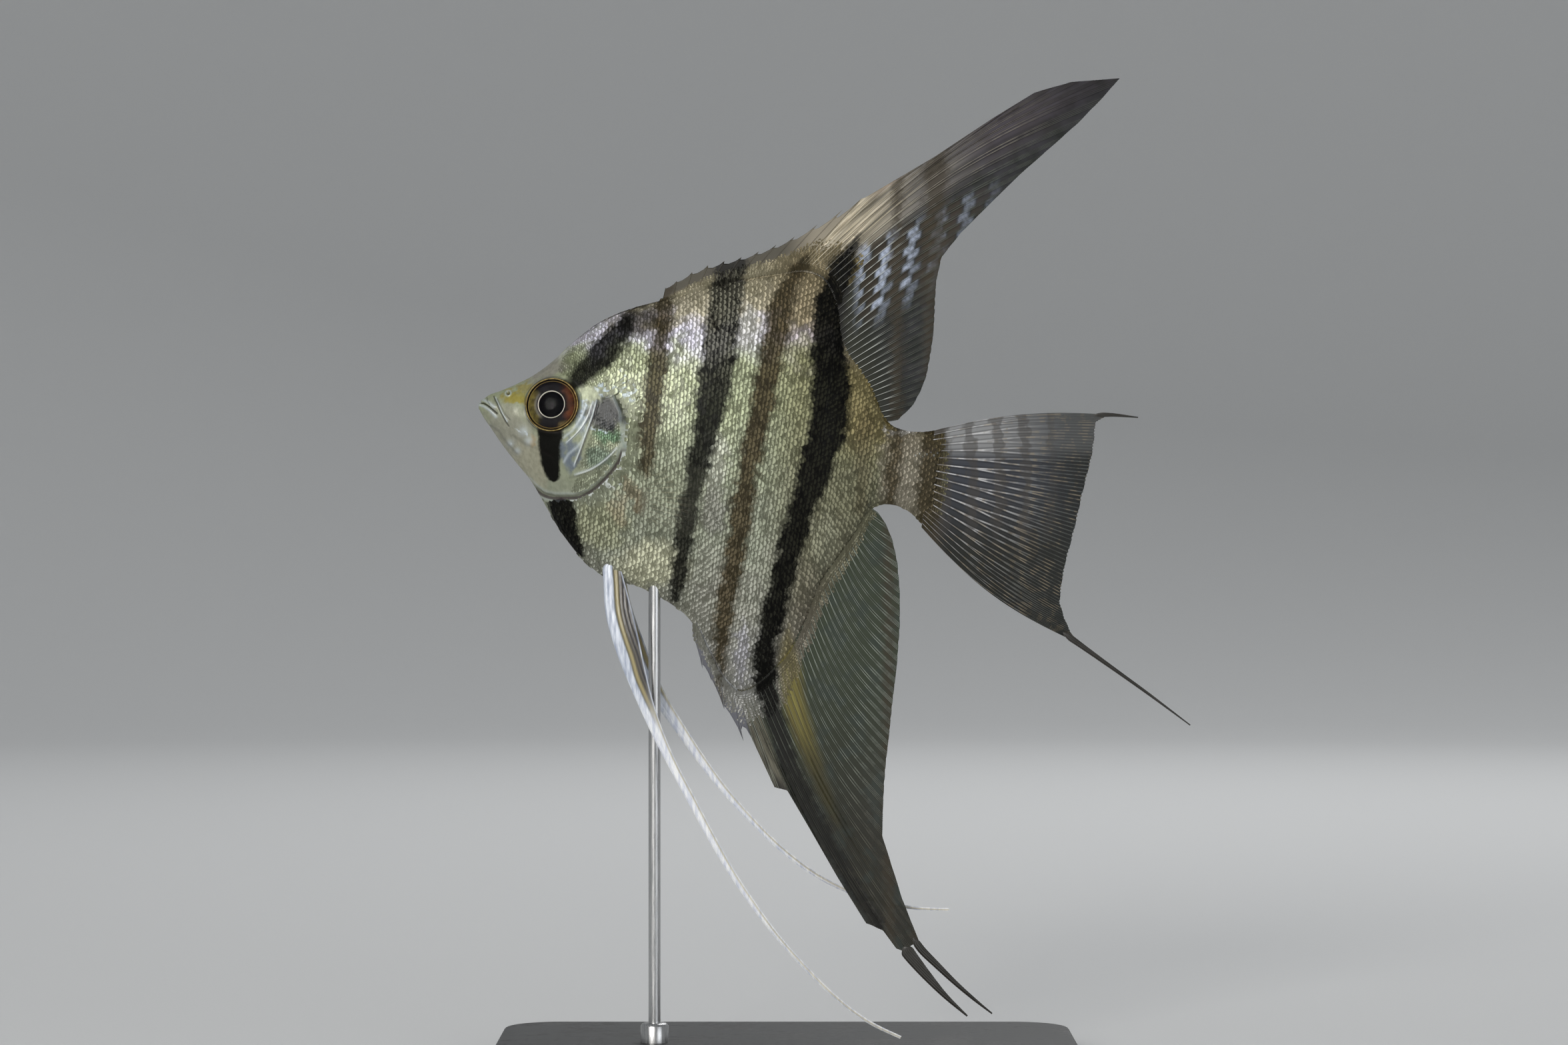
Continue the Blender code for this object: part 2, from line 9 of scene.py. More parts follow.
import bpy
import numpy as np
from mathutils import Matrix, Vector


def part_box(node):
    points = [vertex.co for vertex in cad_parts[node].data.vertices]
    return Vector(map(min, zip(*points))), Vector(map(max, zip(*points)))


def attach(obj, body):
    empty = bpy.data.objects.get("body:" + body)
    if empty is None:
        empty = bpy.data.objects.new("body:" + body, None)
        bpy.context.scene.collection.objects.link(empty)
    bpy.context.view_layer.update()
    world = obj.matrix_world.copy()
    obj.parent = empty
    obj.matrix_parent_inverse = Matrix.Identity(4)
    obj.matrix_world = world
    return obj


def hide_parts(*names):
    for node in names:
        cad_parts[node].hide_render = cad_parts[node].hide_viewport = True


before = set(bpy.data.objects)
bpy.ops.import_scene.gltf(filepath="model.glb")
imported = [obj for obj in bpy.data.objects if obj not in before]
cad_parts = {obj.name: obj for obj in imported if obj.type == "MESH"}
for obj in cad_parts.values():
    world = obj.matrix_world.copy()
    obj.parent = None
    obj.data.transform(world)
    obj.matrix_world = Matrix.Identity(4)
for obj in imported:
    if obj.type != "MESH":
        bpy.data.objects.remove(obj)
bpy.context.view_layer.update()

MM = 0.001
BODY_SEED = 7

# Sections of the body from the lips to the root of the tail fin: top x, top z, bottom x,
# bottom z, half-width, and how lens-like the section is (0.5 is an ellipse, 1 has a keel).
BODY = [
    (-50.4, 110.0, -51.0, 108.5, 1.0, 0.50),
    (-49.2, 111.0, -50.2, 107.0, 2.0, 0.50),
    (-47.3, 111.7, -48.7, 104.8, 2.8, 0.50),
    (-44.7, 112.8, -46.9, 102.2, 3.6, 0.52),
    (-41.8, 114.3, -44.8, 99.5, 4.4, 0.55),
    (-38.8, 116.5, -42.3, 96.4, 5.2, 0.56),
    (-35.8, 119.3, -39.8, 92.1, 5.9, 0.58),
    (-32.5, 121.9, -37.1, 87.6, 6.4, 0.59),
    (-29.0, 123.9, -33.4, 83.1, 6.8, 0.59),
    (-25.0, 125.4, -29.5, 80.4, 7.0, 0.59),
    (-20.5, 126.6, -24.6, 79.0, 7.1, 0.61),
    (-16.0, 128.1, -19.6, 76.4, 7.1, 0.68),
    (-11.0, 129.6, -15.9, 73.3, 7.0, 0.77),
    (-6.0, 130.7, -13.3, 68.2, 6.8, 0.87),
    (-1.2, 131.5, -11.0, 63.9, 6.5, 0.94),
    (3.0, 132.0, -7.9, 61.3, 6.1, 1.00),
    (6.6, 130.6, -4.4, 62.5, 5.7, 1.00),
    (8.7, 127.0, -1.4, 65.2, 5.3, 0.97),
    (9.2, 122.6, 1.3, 68.4, 4.9, 0.93),
    (10.3, 119.0, 3.6, 73.2, 4.5, 0.87),
    (12.2, 116.0, 5.9, 79.2, 4.1, 0.80),
    (14.1, 112.8, 8.9, 83.6, 3.7, 0.75),
    (15.6, 109.0, 11.7, 87.6, 3.3, 0.70),
    (16.9, 106.3, 14.1, 91.8, 3.0, 0.65),
    (19.3, 105.1, 17.2, 92.5, 2.6, 0.60),
    (22.2, 104.8, 20.3, 91.2, 2.1, 0.57),
    (25.6, 105.1, 23.2, 88.2, 1.2, 0.55),
]
WIDEST_RISE = 1.15
TAIL_PLACE = len(BODY) - 1
HEAD_PLACE = 9.0  # the place along the table where the finer skin of the head ends

# The skin lies this far inside the solids, and the scales fill the rest.
COAT_DEPTH = 0.22
SKIN_HEAD_ROWS, SKIN_BODY_ROWS, SKIN_SIDE_POINTS = 175, 58, 190
SNOUT_PLACE, SNOUT_ROWS, SNOUT_DEPTH = 0.3, 8, 0.45
SNOUT_FORWARD = (-0.93, 0.0, 0.37)
AXIS_FRONT, AXIS_REAR = (-50.0, 109.3), (24.4, 96.6)

# The left eye: its centre, and how far it looks forward and up
EYE_CENTRE = (-38.4, 4.4, 109.0)
EYE_FORWARD, EYE_UP = math.radians(10), math.radians(8)
ORBIT_RADIUS, ORBIT_WIDTH, ORBIT_HEIGHT, ORBIT_DEPTH = 4.36, 0.9, 0.40, 0.6
ORBIT_CREASE_RADIUS, ORBIT_CREASE_WIDTH = 4.62, 0.16
PUPIL_RADIUS = 2.08

# Lines cut into the head, with painted shade in them: points (x, z), depth, width
GROOVES = {
    "cleft": ([(-51.4, 109.95), (-50.0, 109.45), (-49.1, 108.85), (-47.8, 107.7)], 0.36, 0.13),
    "lip": ([(-49.5, 110.5), (-49.35, 109.8), (-49.0, 109.3)], 0.12, 0.12),
    "jaw_front": ([(-48.35, 110.8), (-47.6, 109.2), (-47.1, 107.9), (-46.3, 106.3), (-45.8, 105.5)],
                  0.22, 0.11),
    "jaw_rear": ([(-47.7, 110.3), (-47.1, 108.9), (-46.4, 107.5), (-45.6, 106.6)], 0.12, 0.10),
    "chin": ([(-49.0, 105.6), (-47.6, 104.6), (-46.4, 102.9), (-44.6, 101.0)], 0.08, 0.25),
    "cheek": ([(-45.2, 104.0), (-43.2, 102.6), (-41.0, 101.8), (-38.6, 100.6)], 0.06, 0.30),
    "cheek_edge": ([(-30.8, 109.8), (-31.6, 106.8), (-32.5, 104.3), (-33.7, 101.0), (-34.6, 98.8)],
                   0.12, 0.13),
    "gill_fold": ([(-35.6, 97.0), (-32.6, 97.8), (-30.1, 99.4), (-28.3, 101.4)], 0.12, 0.15),
}
# Lines that stand up, with a painted highlight along them: points, height, width
RIDGES = {
    "lower_lip": ([(-50.9, 109.2), (-49.9, 108.85), (-48.9, 108.2), (-47.9, 107.1)], 0.10, 0.26),
    "upper_lip": ([(-50.1, 110.1), (-49.1, 109.6), (-48.2, 108.8)], 0.09, 0.28),
    "jaw_bone": ([(-48.0, 110.5), (-47.35, 109.1), (-46.8, 107.7), (-46.0, 106.3)], 0.07, 0.14),
    "cheek_first": ([(-31.7, 109.5), (-32.3, 107.4), (-33.4, 105.4), (-34.6, 104.0), (-36.1, 102.8)],
                    0.07, 0.14),
    "cheek_second": ([(-31.1, 109.8), (-31.9, 106.9), (-32.8, 104.5), (-34.0, 101.2), (-34.9, 99.0)],
                     0.08, 0.14),
    "cheek_third": ([(-32.8, 109.0), (-33.6, 106.8), (-35.0, 104.8), (-36.6, 103.6)], 0.05, 0.15),
    "cheek_fourth": ([(-33.2, 103.4), (-34.4, 102.0), (-35.8, 100.9), (-36.6, 99.6)], 0.05, 0.17),
    "gill_line": ([(-34.8, 97.55), (-32.0, 98.5), (-29.6, 100.1), (-27.7, 102.0)], 0.08, 0.13),
}
PLATE_HEIGHT = 0.12
# Raised plates under the eye, with a painted highlight on them: x, z, radius
PLATES = [(-43.3, 104.7, 0.75), (-45.6, 102.7, 0.6), (-42.4, 103.1, 0.7), (-44.4, 101.5, 0.55)]
NOSTRIL = (-45.9, 111.2, 0.3)
# The free edge of the gill cover, from the throat round to the top of the opening
GILL_EDGE = [
    (-42.6, 96.6), (-41.4, 95.5), (-40.0, 94.5), (-38.0, 94.1), (-35.0, 94.1), (-32.5, 94.9),
    (-30.0, 97.0), (-28.2, 99.1), (-27.1, 101.3), (-26.6, 104.6), (-26.9, 108.0), (-28.2, 111.0),
]
GILL_STEP, GILL_FADE = 0.42, 1.3
# The same edge as heights z at places x, with how much of a step up counts across the edge
GILL_LOW = [(-42.6, 96.6), (-41.4, 95.5), (-40.0, 94.5), (-38.0, 94.0), (-35.0, 94.0), (-32.5, 94.9),
            (-31.2, 95.8), (-30.0, 97.0), (-28.2, 99.1), (-27.1, 101.3), (-26.8, 103.0)]
GILL_SLOPES = [(-42.6, 0.75), (-40.0, 0.87), (-38.0, 1.0), (-35.0, 0.99), (-32.5, 0.85), (-30.0, 0.66),
               (-28.2, 0.52), (-26.8, 0.3)]
GILL_FOLD = [(-36.0, 97.2), (-34.8, 97.55), (-32.0, 98.5), (-29.6, 100.1), (-27.7, 102.0), (-26.5, 103.2)]
CHEEK_LINES = {  # heights z with places x, and the lowest and highest z that the line reaches
    "rear": ([(97.5, -35.4), (99.0, -34.9), (101.2, -34.0), (104.5, -32.8), (106.9, -31.9), (109.8, -31.1),
              (111, -30.8)], (98.9, 109.6)),
    "front": ([(101.5, -37.6), (102.8, -36.1), (104.0, -34.8), (105.4, -33.6), (107.4, -32.5),
               (109.5, -31.9), (111, -31.6)], (102.6, 109.4)),
}

# Dark bars: (z, x, half-width), where a half-width under 0 ends the bar. Each bar also has how
# soft its edges are and how strong it is.
BLACK_BARS = {
    "under_eye": ([(95.7, -38.2, -1), (96.7, -38.3, 0.7), (97.6, -38.4, 1.15), (99.6, -38.7, 1.55),
                   (102, -38.8, 1.75), (104.3, -38.7, 2.05), (108, -38.6, 2.1), (110, -38.5, -1)],
                  0.35, 1.0),
    "chin": ([(82.5, -33.0, -1), (85, -34.2, 0.9), (88, -35.8, 1.6), (92, -37.0, 2.1),
              (93.2, -37.1, 2.2), (94.1, -37.1, -1)], 0.45, 1.0),
    "nape": ([(110.2, -35.4, -1), (112, -34.7, 1.1), (114, -33.2, 2.5), (117, -30.8, 2.9),
              (120, -28.6, 2.5), (123, -26.6, 1.4), (126, -25, -1)], 1.1, 0.97),
    "second": ([(75, -18.6, -1), (77, -18.3, 0.6), (80, -18, 1.25), (85, -17.3, 1.5),
                (90, -16.6, 1.6), (95, -15.7, 1.7), (100, -14.6, 1.85), (105, -13.3, 2.2),
                (110, -12.5, 2.7), (115, -11.7, 2.85), (120, -11.1, 2.85), (125, -10.4, 2.8),
                (134, -9.2, 2.7)], 0.8, 0.97),
    "fourth": ([(22, 15.5, 0.9), (28, 12, 1.1), (34, 8.6, 1.3), (41, 4.6, 1.55), (47, 1.6, 1.5),
                (53, -0.6, 1.5), (59, -2.5, 1.65), (64, -3.5, 1.9), (68, -3.8, 1.9), (73, -2.9, 2.0),
                (80, -1.1, 2.15), (90, 1.6, 2.3), (100, 5.1, 2.9), (106, 6.6, 3.3),
                (112, 7.0, 3.35), (119, 6.7, 2.95), (125, 7.0, 2.9), (130, 8.4, 2.4), (134, 10.1, 1.6),
                (137, 11.6, 0.4), (139, 12.8, -1)], 0.8, 1.0),
}
BROWN_BARS = {
    "first": ([(95, -23.2, -1), (98, -23.2, 0.8), (102, -22.9, 1.4), (108, -22.3, 1.6),
               (114, -21.6, 1.7), (120, -21, 1.6), (129, -20.2, 1.6)], 0.9, 0.95),
    "third": ([(62, -11, 0.3), (70, -11, 1.2), (78, -10, 1.6), (85, -8.7, 1.75), (90, -8, 1.8),
               (100, -6.2, 1.85), (106, -4.9, 1.9), (111, -3.9, 1.9), (116, -2.9, 2.1), (121, -2.0, 2.2),
               (126, -0.9, 2.0), (130, 1.0, 1.6), (133, 3.0, 0.9), (136, 4.8, -1)], 0.9, 1.0),
    "rear": ([(88, 12, -1), (92, 12, 1.0), (98, 12.2, 1.4), (104, 12.5, 1.2), (108, 13, 0.6),
              (111, 13, -1)], 0.9, 0.5),
    "stem": ([(90, 16.9, 0.8), (98, 17.2, 1.25), (106, 18.2, 0.9)], 0.9, 0.9),
    "tail_root": ([(86, 23.2, 2.1), (98, 24.1, 2.3), (107, 24.6, 1.9)], 1.0, 0.95),
}
FLESH_EDGING = [(103, 17.2, -1), (106, 16.8, 0.4), (110, 15.2, 0.6), (114, 13.2, 0.6), (118, 11.0, 0.5),
                (122, 9.7, 0.4), (126, 9.0, 0.1), (130, 9.0, -1)]
YELLOW_BAND = [(36, 9.8, -1), (42, 7.4, 0.6), (48, 5.2, 1.3), (54, 3.1, 1.6), (59, 1.5, 1.8),
               (65, 0.5, 1.8), (70, 0.1, 1.0), (76, 0.4, -1)]
BAR_HEIGHTS, BAR_PLACES = (15.0, 170.0), (-60.0, 75.0)
# The x and z from which the gill cover's lines are measured, to bring them into those reaches
LINE_START, LINE_LEVEL = -100.0, 100.0
# The bright lilac-white stop at z 120.5 is a painted sheen on the upper flank.
PALE_HEIGHTS = [  # skin colour between the bars at heights z
    (62, (150, 150, 148)), (76, (141, 141, 132)), (88, (138, 142, 127)), (98, (137, 142, 123)),
    (108, (146, 152, 126)), (115, (150, 156, 128)), (117.5, (172, 176, 160)), (120.5, (206, 203, 220)),
    (124, (176, 169, 150)), (130, (156, 149, 127)),
]
RAMP_HEIGHTS = (55.0, 140.0)
# Soft patches of colour on the head and breast: x, z, reach along x and z, colour, strength
PATCHES = [
    (-40.5, 115.0, 5.5, 3.0, (141, 139, 129), 1.0), (-46.0, 103.5, 5.5, 7.5, (143, 143, 130), 1.0),
    (-41.5, 100.0, 4.0, 5.0, (152, 150, 133), 0.9), (-44.9, 110.4, 2.6, 1.5, (152, 141, 70), 0.95),
    (-42.6, 111.8, 1.8, 1.2, (148, 137, 82), 0.8), (-41.6, 103.0, 1.0, 1.0, (158, 136, 98), 0.6),
    (-35.6, 101.0, 1.6, 3.4, (100, 110, 124), 0.9), (-33.4, 107.0, 1.4, 3.6, (140, 150, 158), 0.8),
    (-29.6, 107.4, 4.1, 3.8, (31, 33, 38), 0.97),
    (-12.0, 100.0, 2.6, 6.0, (190, 190, 184), 0.4), (-28.8, 103.6, 2.6, 1.7, (82, 110, 86), 0.85),
    (-31.0, 100.4, 2.8, 2.4, (102, 118, 104), 0.8), (-31.0, 89.5, 6.0, 4.5, (140, 142, 116), 0.8),
    (-27.6, 92.0, 2.2, 3.0, (136, 122, 100), 0.5), (-25.8, 95.0, 1.3, 2.2, (116, 98, 74), 0.5),
    (-22.5, 83.0, 7.0, 5.0, (187, 187, 162), 0.8), (-24.0, 123.0, 5.0, 3.2, (62, 56, 42), 0.85),
    (20.0, 98.0, 6.0, 10.0, (142, 135, 124), 0.75), (18.5, 104.6, 2.6, 1.0, (190, 188, 186), 0.8),
    # The whitish patch at x -6.8, z 121.5 is a painted sheen.
    (-6.8, 121.5, 3.0, 4.5, (200, 199, 199), 0.85), (-12.2, 91.5, 2.4, 5.0, (118, 117, 112), 0.7),
    (6.0, 87.0, 3.2, 6.0, (140, 140, 120), 0.6), (-7.4, 68.0, 1.6, 7.0, (152, 151, 160), 0.7),
]
# Painted glints, pale colour for the light that guanine throws back: x, z, reach along x and z, and how
# green or blue, from 0 to 1
GLINTS = [
    (-29.2, 111.2, 1.8, 1.5, 0.9), (-26.0, 111.4, 1.3, 1.7, 0.7), (-27.2, 114.4, 0.6, 1.3, 0.4),
    (-26.6, 98.4, 1.0, 0.6, 0.2), (-28.6, 96.0, 1.5, 1.1, 0.2), (-43.1, 104.9, 0.6, 0.45, 0.5),
    (-45.5, 103.2, 0.5, 0.4, 0.4), (-44.3, 105.3, 0.5, 0.3, 0.4), (-26.4, 104.0, 0.5, 0.4, 0.3),
    (-33.0, 108.4, 0.7, 2.2, 0.8), (-30.5, 104.5, 1.2, 0.5, 0.6),
]


def rgb(red, green, blue):
    """A colour of 0 to 255 as the shaders' linear light."""
    return tuple(
        (c / 12.92 if c <= 0.04045 else ((c + 0.055) / 1.055) ** 2.4)
        for c in (red / 255, green / 255, blue / 255)
    )


# ------------------------------------------------------------------ shapes


def smooth_rows(table, places):
    """The rows at places, from 0 to the table's last row, on smooth curves through its rows."""
    table = np.asarray(table, float)
    last = len(table) - 1
    index = np.clip(np.asarray(places).astype(int), 0, last - 1)
    part = (places - index)[:, None]
    before, start = table[np.maximum(index - 1, 0)], table[index]
    end, after = table[index + 1], table[np.minimum(index + 2, last)]
    return (
        (-part + 2 * part**2 - part**3) * before + (2 - 5 * part**2 + 3 * part**3) * start
        + (part + 4 * part**2 - 3 * part**3) * end + (part**3 - part**2) * after
    ) / 2


def unit(vectors):
    return vectors / np.maximum(np.linalg.norm(vectors, axis=-1, keepdims=True), 1e-9)


def rise(value, low, high):
    """0 below low, 1 above high, and smooth between."""
    share = np.clip((value - low) / (high - low), 0, 1)
    return share * share * (3 - 2 * share)


def bump(distance, width):
    return np.exp(-((distance / width) ** 2))


def line_distance(points, x, z):
    """How far each place is from a line through the points, and on which side, left being 1."""
    best, side = np.full(x.shape, 1e9), np.ones(x.shape)
    for (ax, az), (bx, bz) in zip(points, points[1:]):
        dx, dz = bx - ax, bz - az
        share = np.clip(((x - ax) * dx + (z - az) * dz) / (dx * dx + dz * dz), 0, 1)
        away = np.hypot(x - ax - share * dx, z - az - share * dz)
        nearer = away < best
        best = np.where(nearer, away, best)
        side = np.where(nearer, np.sign(dx * (z - az) - dz * (x - ax)), side)
    return best, side


def flesh(places, heights):
    """The left side of the body, one row of points for each place along it."""
    rows = smooth_rows(BODY, places)
    top, bottom = rows[:, None, 0:2], rows[:, None, 2:4]
    middle = bottom + (top - bottom) * heights[None, :, None]
    lens = np.clip(np.sin(np.pi * heights**WIDEST_RISE), 0, 1)[None, :] ** rows[:, 5, None]
    return np.stack([middle[..., 0], -rows[:, 4, None] * lens, middle[..., 1]], -1)


def outward(points):
    """Normals of a left side's grid. On the midline they stay in the plane of the fish."""
    out = np.cross(np.gradient(points, axis=0), np.gradient(points, axis=1))
    out[:, [0, -1], 1] = 0
    return unit(out)


def with_snout(points):
    """Closes the front of the grid with a small dome, from which the lips are shaped."""
    first = points[0]
    centre = np.array([first[:, 0].mean(), 0.0, first[:, 2].mean()])
    rows = []
    for i in range(SNOUT_ROWS, 0, -1):
        turn = math.pi / 2 * i / (SNOUT_ROWS + 0.3)
        ahead = np.array(SNOUT_FORWARD) * SNOUT_DEPTH * math.sin(turn)
        rows.append(centre + (first - centre) * math.cos(turn) + ahead)
    return np.concatenate([np.array(rows), points])


def eye_axes(side):
    """The eye's centre, its outward axis, and the directions to the rear and up its face."""
    mirror = np.array([1, side, 1])
    out = np.array([-math.sin(EYE_FORWARD) * math.cos(EYE_UP),
                    math.cos(EYE_FORWARD) * math.cos(EYE_UP), math.sin(EYE_UP)]) * mirror
    across = unit(np.cross([0, 0, 1], out)) * -side
    up = unit(np.cross(across, out)) * side
    return np.array(EYE_CENTRE) * mirror, out, across, up


def set_orbits(points, normals):
    """Sinks the skin under the eye, brings its edge up to the eye's rim, and gives the painted shade in the
    fold round the eye.
    """
    centre, out, _, _ = eye_axes(-1)
    away = points - centre
    along = away @ out
    radius = np.linalg.norm(away - along[..., None] * out, axis=-1)
    near = (normals @ out > 0.2) & (along > -3)
    share = rise(radius, ORBIT_RADIUS, ORBIT_RADIUS + ORBIT_WIDTH)
    target = np.where(radius < ORBIT_RADIUS, -ORBIT_DEPTH, ORBIT_HEIGHT * (1 - share) + along * share)
    moved = points + (target - along)[..., None] * out
    inside = near & (radius < ORBIT_RADIUS + ORBIT_WIDTH)
    painted_shade = bump(radius - ORBIT_CREASE_RADIUS, ORBIT_CREASE_WIDTH) * near
    return np.where(inside[..., None], moved, points), 0.8 * painted_shade


def relief(x, z):
    """The head's lines: how far they stand out, with painted shade in the grooves, the nostril and under
    the gill cover's edge, and painted highlights on the ridges, the plates, the nostril's rim and the
    cover's rim and just behind it.
    """
    height, painted_shade, painted_highlight = np.zeros(x.shape), np.zeros(x.shape), np.zeros(x.shape)
    for line, depth, width in GROOVES.values():
        mask = bump(line_distance(line, x, z)[0], width)
        height -= depth * mask
        painted_shade = np.maximum(painted_shade, mask * min(1, depth * 4))
    for line, tall, width in RIDGES.values():
        mask = bump(line_distance(line, x, z)[0], width)
        height += tall * mask
        painted_highlight = np.maximum(painted_highlight, mask)
    for px, pz, radius in PLATES:
        mask = bump(np.hypot(x - px, z - pz), radius)
        height += PLATE_HEIGHT * mask
        painted_highlight = np.maximum(painted_highlight, 0.8 * mask)
    nx, nz, radius = NOSTRIL
    away = np.hypot(x - nx, z - nz)
    height += 0.12 * bump(away - radius * 1.5, 0.14) - 0.4 * bump(away, radius * 0.7)
    painted_highlight = np.maximum(painted_highlight, 0.8 * bump(away - radius * 1.5, 0.12))
    painted_shade = np.maximum(painted_shade, bump(away, radius * 0.9))
    edge, side = line_distance(GILL_EDGE, x, z)
    over = edge * side  # how far inside the cover, and below 0 behind it
    height -= GILL_STEP * rise(-over, -0.22, 0.34) * np.exp(-np.maximum(-over, 0) / GILL_FADE)
    height += 0.1 * bump(over - 0.5, 0.4)
    painted_shade = np.maximum(painted_shade, 0.45 * bump(over + 0.22, 0.30))
    painted_highlight = np.maximum(painted_highlight, np.maximum(0.5 * bump(over + 0.95, 0.26), 0.4 * bump(over - 0.4, 0.22)))
    return height, painted_shade, painted_highlight


def waves(x, z, seed, count=24, longest=9.0, shortest=1.6):
    """A smooth random field of about -1 to 1, for the soft unevenness of living shapes."""
    rng = np.random.default_rng(seed)
    total = np.zeros(x.shape)
    for _ in range(count):
        length = rng.uniform(shortest, longest)
        turn = rng.uniform(0, 2 * math.pi)
        phase = rng.uniform(0, 2 * math.pi)
        total += math.sqrt(length / longest) * np.sin(
            2 * math.pi * (x * math.cos(turn) + z * math.sin(turn)) / length + phase
        )
    return total / math.sqrt(count)


def left_skin():
    """Points, normals and masks of the skin's left side, with the painted shade and the painted highlight
    of its head.
    """
    places = np.concatenate([
        np.linspace(SNOUT_PLACE, HEAD_PLACE, SKIN_HEAD_ROWS),
        np.linspace(HEAD_PLACE, TAIL_PLACE, SKIN_BODY_ROWS + 1)[1:],
    ])
    shares = np.arange(SKIN_SIDE_POINTS + 1) / SKIN_SIDE_POINTS
    eased = (1 - np.cos(math.pi * shares)) / 2
    heights = 0.3 * eased + 0.7 * shares
    near_keel = bump(np.minimum(shares, 1 - shares), 0.06)
    heights = heights - 0.3 * (heights - eased) * near_keel
    plain = with_snout(flesh(places, heights))
    points, normals = plain, outward(plain)
    x, z = points[..., 0], points[..., 2]
    height, painted_shade, painted_highlight = relief(x, z)
    middle = rise(-points[..., 1], 0.3, 1.6)
    soft = 0.05 * waves(x, z, BODY_SEED) * middle
    outline = np.where(x < -47.5, 1.0, middle)
    points = points + normals * ((height * outline + soft - COAT_DEPTH)[..., None])
    points[:, [0, -1], 1] = 0
    points[..., 1] = np.minimum(points[..., 1], 0)
    points, dark = set_orbits(points, normals)
    return {"points": points, "normals": normals, "tailward": unit(np.gradient(plain, axis=0)),
            "painted_shade": np.clip(painted_shade + dark, 0, 1), "painted_highlight": painted_highlight}


def grid_faces(rows, columns, closed=False):
    """Quads over a grid of points, and each corner's row and column, which don't wrap."""
    i, j = np.meshgrid(np.arange(rows - 1), np.arange(columns - (not closed)), indexing="ij")
    corner_i = np.stack([i, i, i + 1, i + 1], -1).reshape(-1, 4)
    corner_j = np.stack([j, j + 1, j + 1, j], -1).reshape(-1, 4)
    return corner_i * columns + corner_j % columns, corner_i, corner_j


def mirrored(grid, flip=None):
    """A left side's grid carried on over the back and down the right side."""
    other = grid[:, -2:0:-1].copy()
    if flip is not None:
        other[..., flip] *= -1
    return np.concatenate([grid, other], axis=1)


def new_object(name, data):
    item = bpy.data.objects.new(name, data)
    bpy.context.scene.collection.objects.link(item)
    return item


def smooth_object(name, points, faces, material):
    mesh = bpy.data.meshes.new(name)
    mesh.from_pydata(np.asarray(points).reshape(-1, 3).tolist(), [], faces)
    mesh.materials.append(material)
    mesh.shade_smooth()
    return new_object(name, mesh)


def add_piece(name, points, faces, material, replaced=(), sharp=None):
    """One piece of the fish or its stand. sharp is the angle from which its edges stay crisp."""
    piece = smooth_object(name, np.asarray(points) * MM, faces, material)
    if sharp:
        piece.data.set_sharp_from_angle(angle=math.radians(sharp))
    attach(piece, "root")
    if replaced:
        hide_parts(*replaced)
    return piece


def store(piece, name, values):
    """Three numbers for each point of the piece, which its material reads by name."""
    layer = piece.data.attributes.new(name, "FLOAT_VECTOR", "POINT")
    layer.data.foreach_set("vector", np.asarray(values, np.float32).ravel())


def store_map(piece, corners):
    """The piece's own unwrap, one place for each corner of its faces."""
    layer = piece.data.uv_layers.new(name="OFBake")
    layer.data.foreach_set("uv", np.asarray(corners, np.float32).ravel())


def ring_piece(name, rings, material, replaced=(), order=1, sharp=None, mapped=True):
    """A closed form over rings of points. order is -1 where the rings run the other way round."""
    rows, columns = rings.shape[:2]
    faces, corner_i, corner_j = grid_faces(rows, columns, closed=True)
    first, last = list(range(columns))[::-1], list(range((rows - 1) * columns, rows * columns))
    faces = [*faces[:, ::order].tolist(), first[::order], last[::order]]
    piece = add_piece(name, rings, faces, material, replaced, sharp)
    if mapped:
        places = np.stack([corner_i / (rows - 1), corner_j / columns], -1)[:, ::order].reshape(-1, 2)
        ends = np.full((2 * columns, 2), 0.5)
        store_map(piece, np.concatenate([places * 0.98 + 0.01, ends]))
    return piece


def make_skin(side, material):
    replaced = ("head", "lower_jaw", "gill_cover_left", "gill_cover_right", "trunk", "tail_stem")
    points = mirrored(side["points"], flip=1)
    piece = ring_piece("skin", points, material, replaced, order=-1)
    # The painted shade and the painted highlight, for the skin's material to read
    marks = np.stack([side["painted_shade"], side["painted_highlight"], np.zeros_like(side["painted_highlight"])], -1)
    store(piece, "marks", mirrored(marks))


# ------------------------------------------------------------------ scales

# For each kind: spacing along the body and up it, a scale's length and width, and how far its
# free edge stands up
SCALE_KINDS = {
    "flank": (0.62, 1.02, 1.75, 1.36, 0.10),
    "cheek": (0.36, 0.54, 1.0, 0.68, 0.04),
    "fin_base": (0.42, 0.50, 0.95, 0.66, 0.03),
}
# Where the finer scales of the face begin: over FACE_TOP, or before FACE_REAR inside the gill cover
FACE_TOP, FACE_REAR, BROW_REAR = 110.5, -26, -36
SCALE_SEEDS = {"flank": 21, "cheek": 33, "fin_base": 47}
SCALE_ALONG, SCALE_ACROSS = 4, 6
LEAST_SCALE = 0.12  # a share under this leaves the skin bare
MAP_PATCH = 0.003  # one scale's length on the map
PIECE_LIMIT = 190000  # triangles in one piece
PART_NAMES = {1: [""], 2: ["_front", "_rear"], 3: ["_front", "_middle", "_rear"]}
MAP_SPAN = 90.0  # millimetres of unrolled skin across the whole map


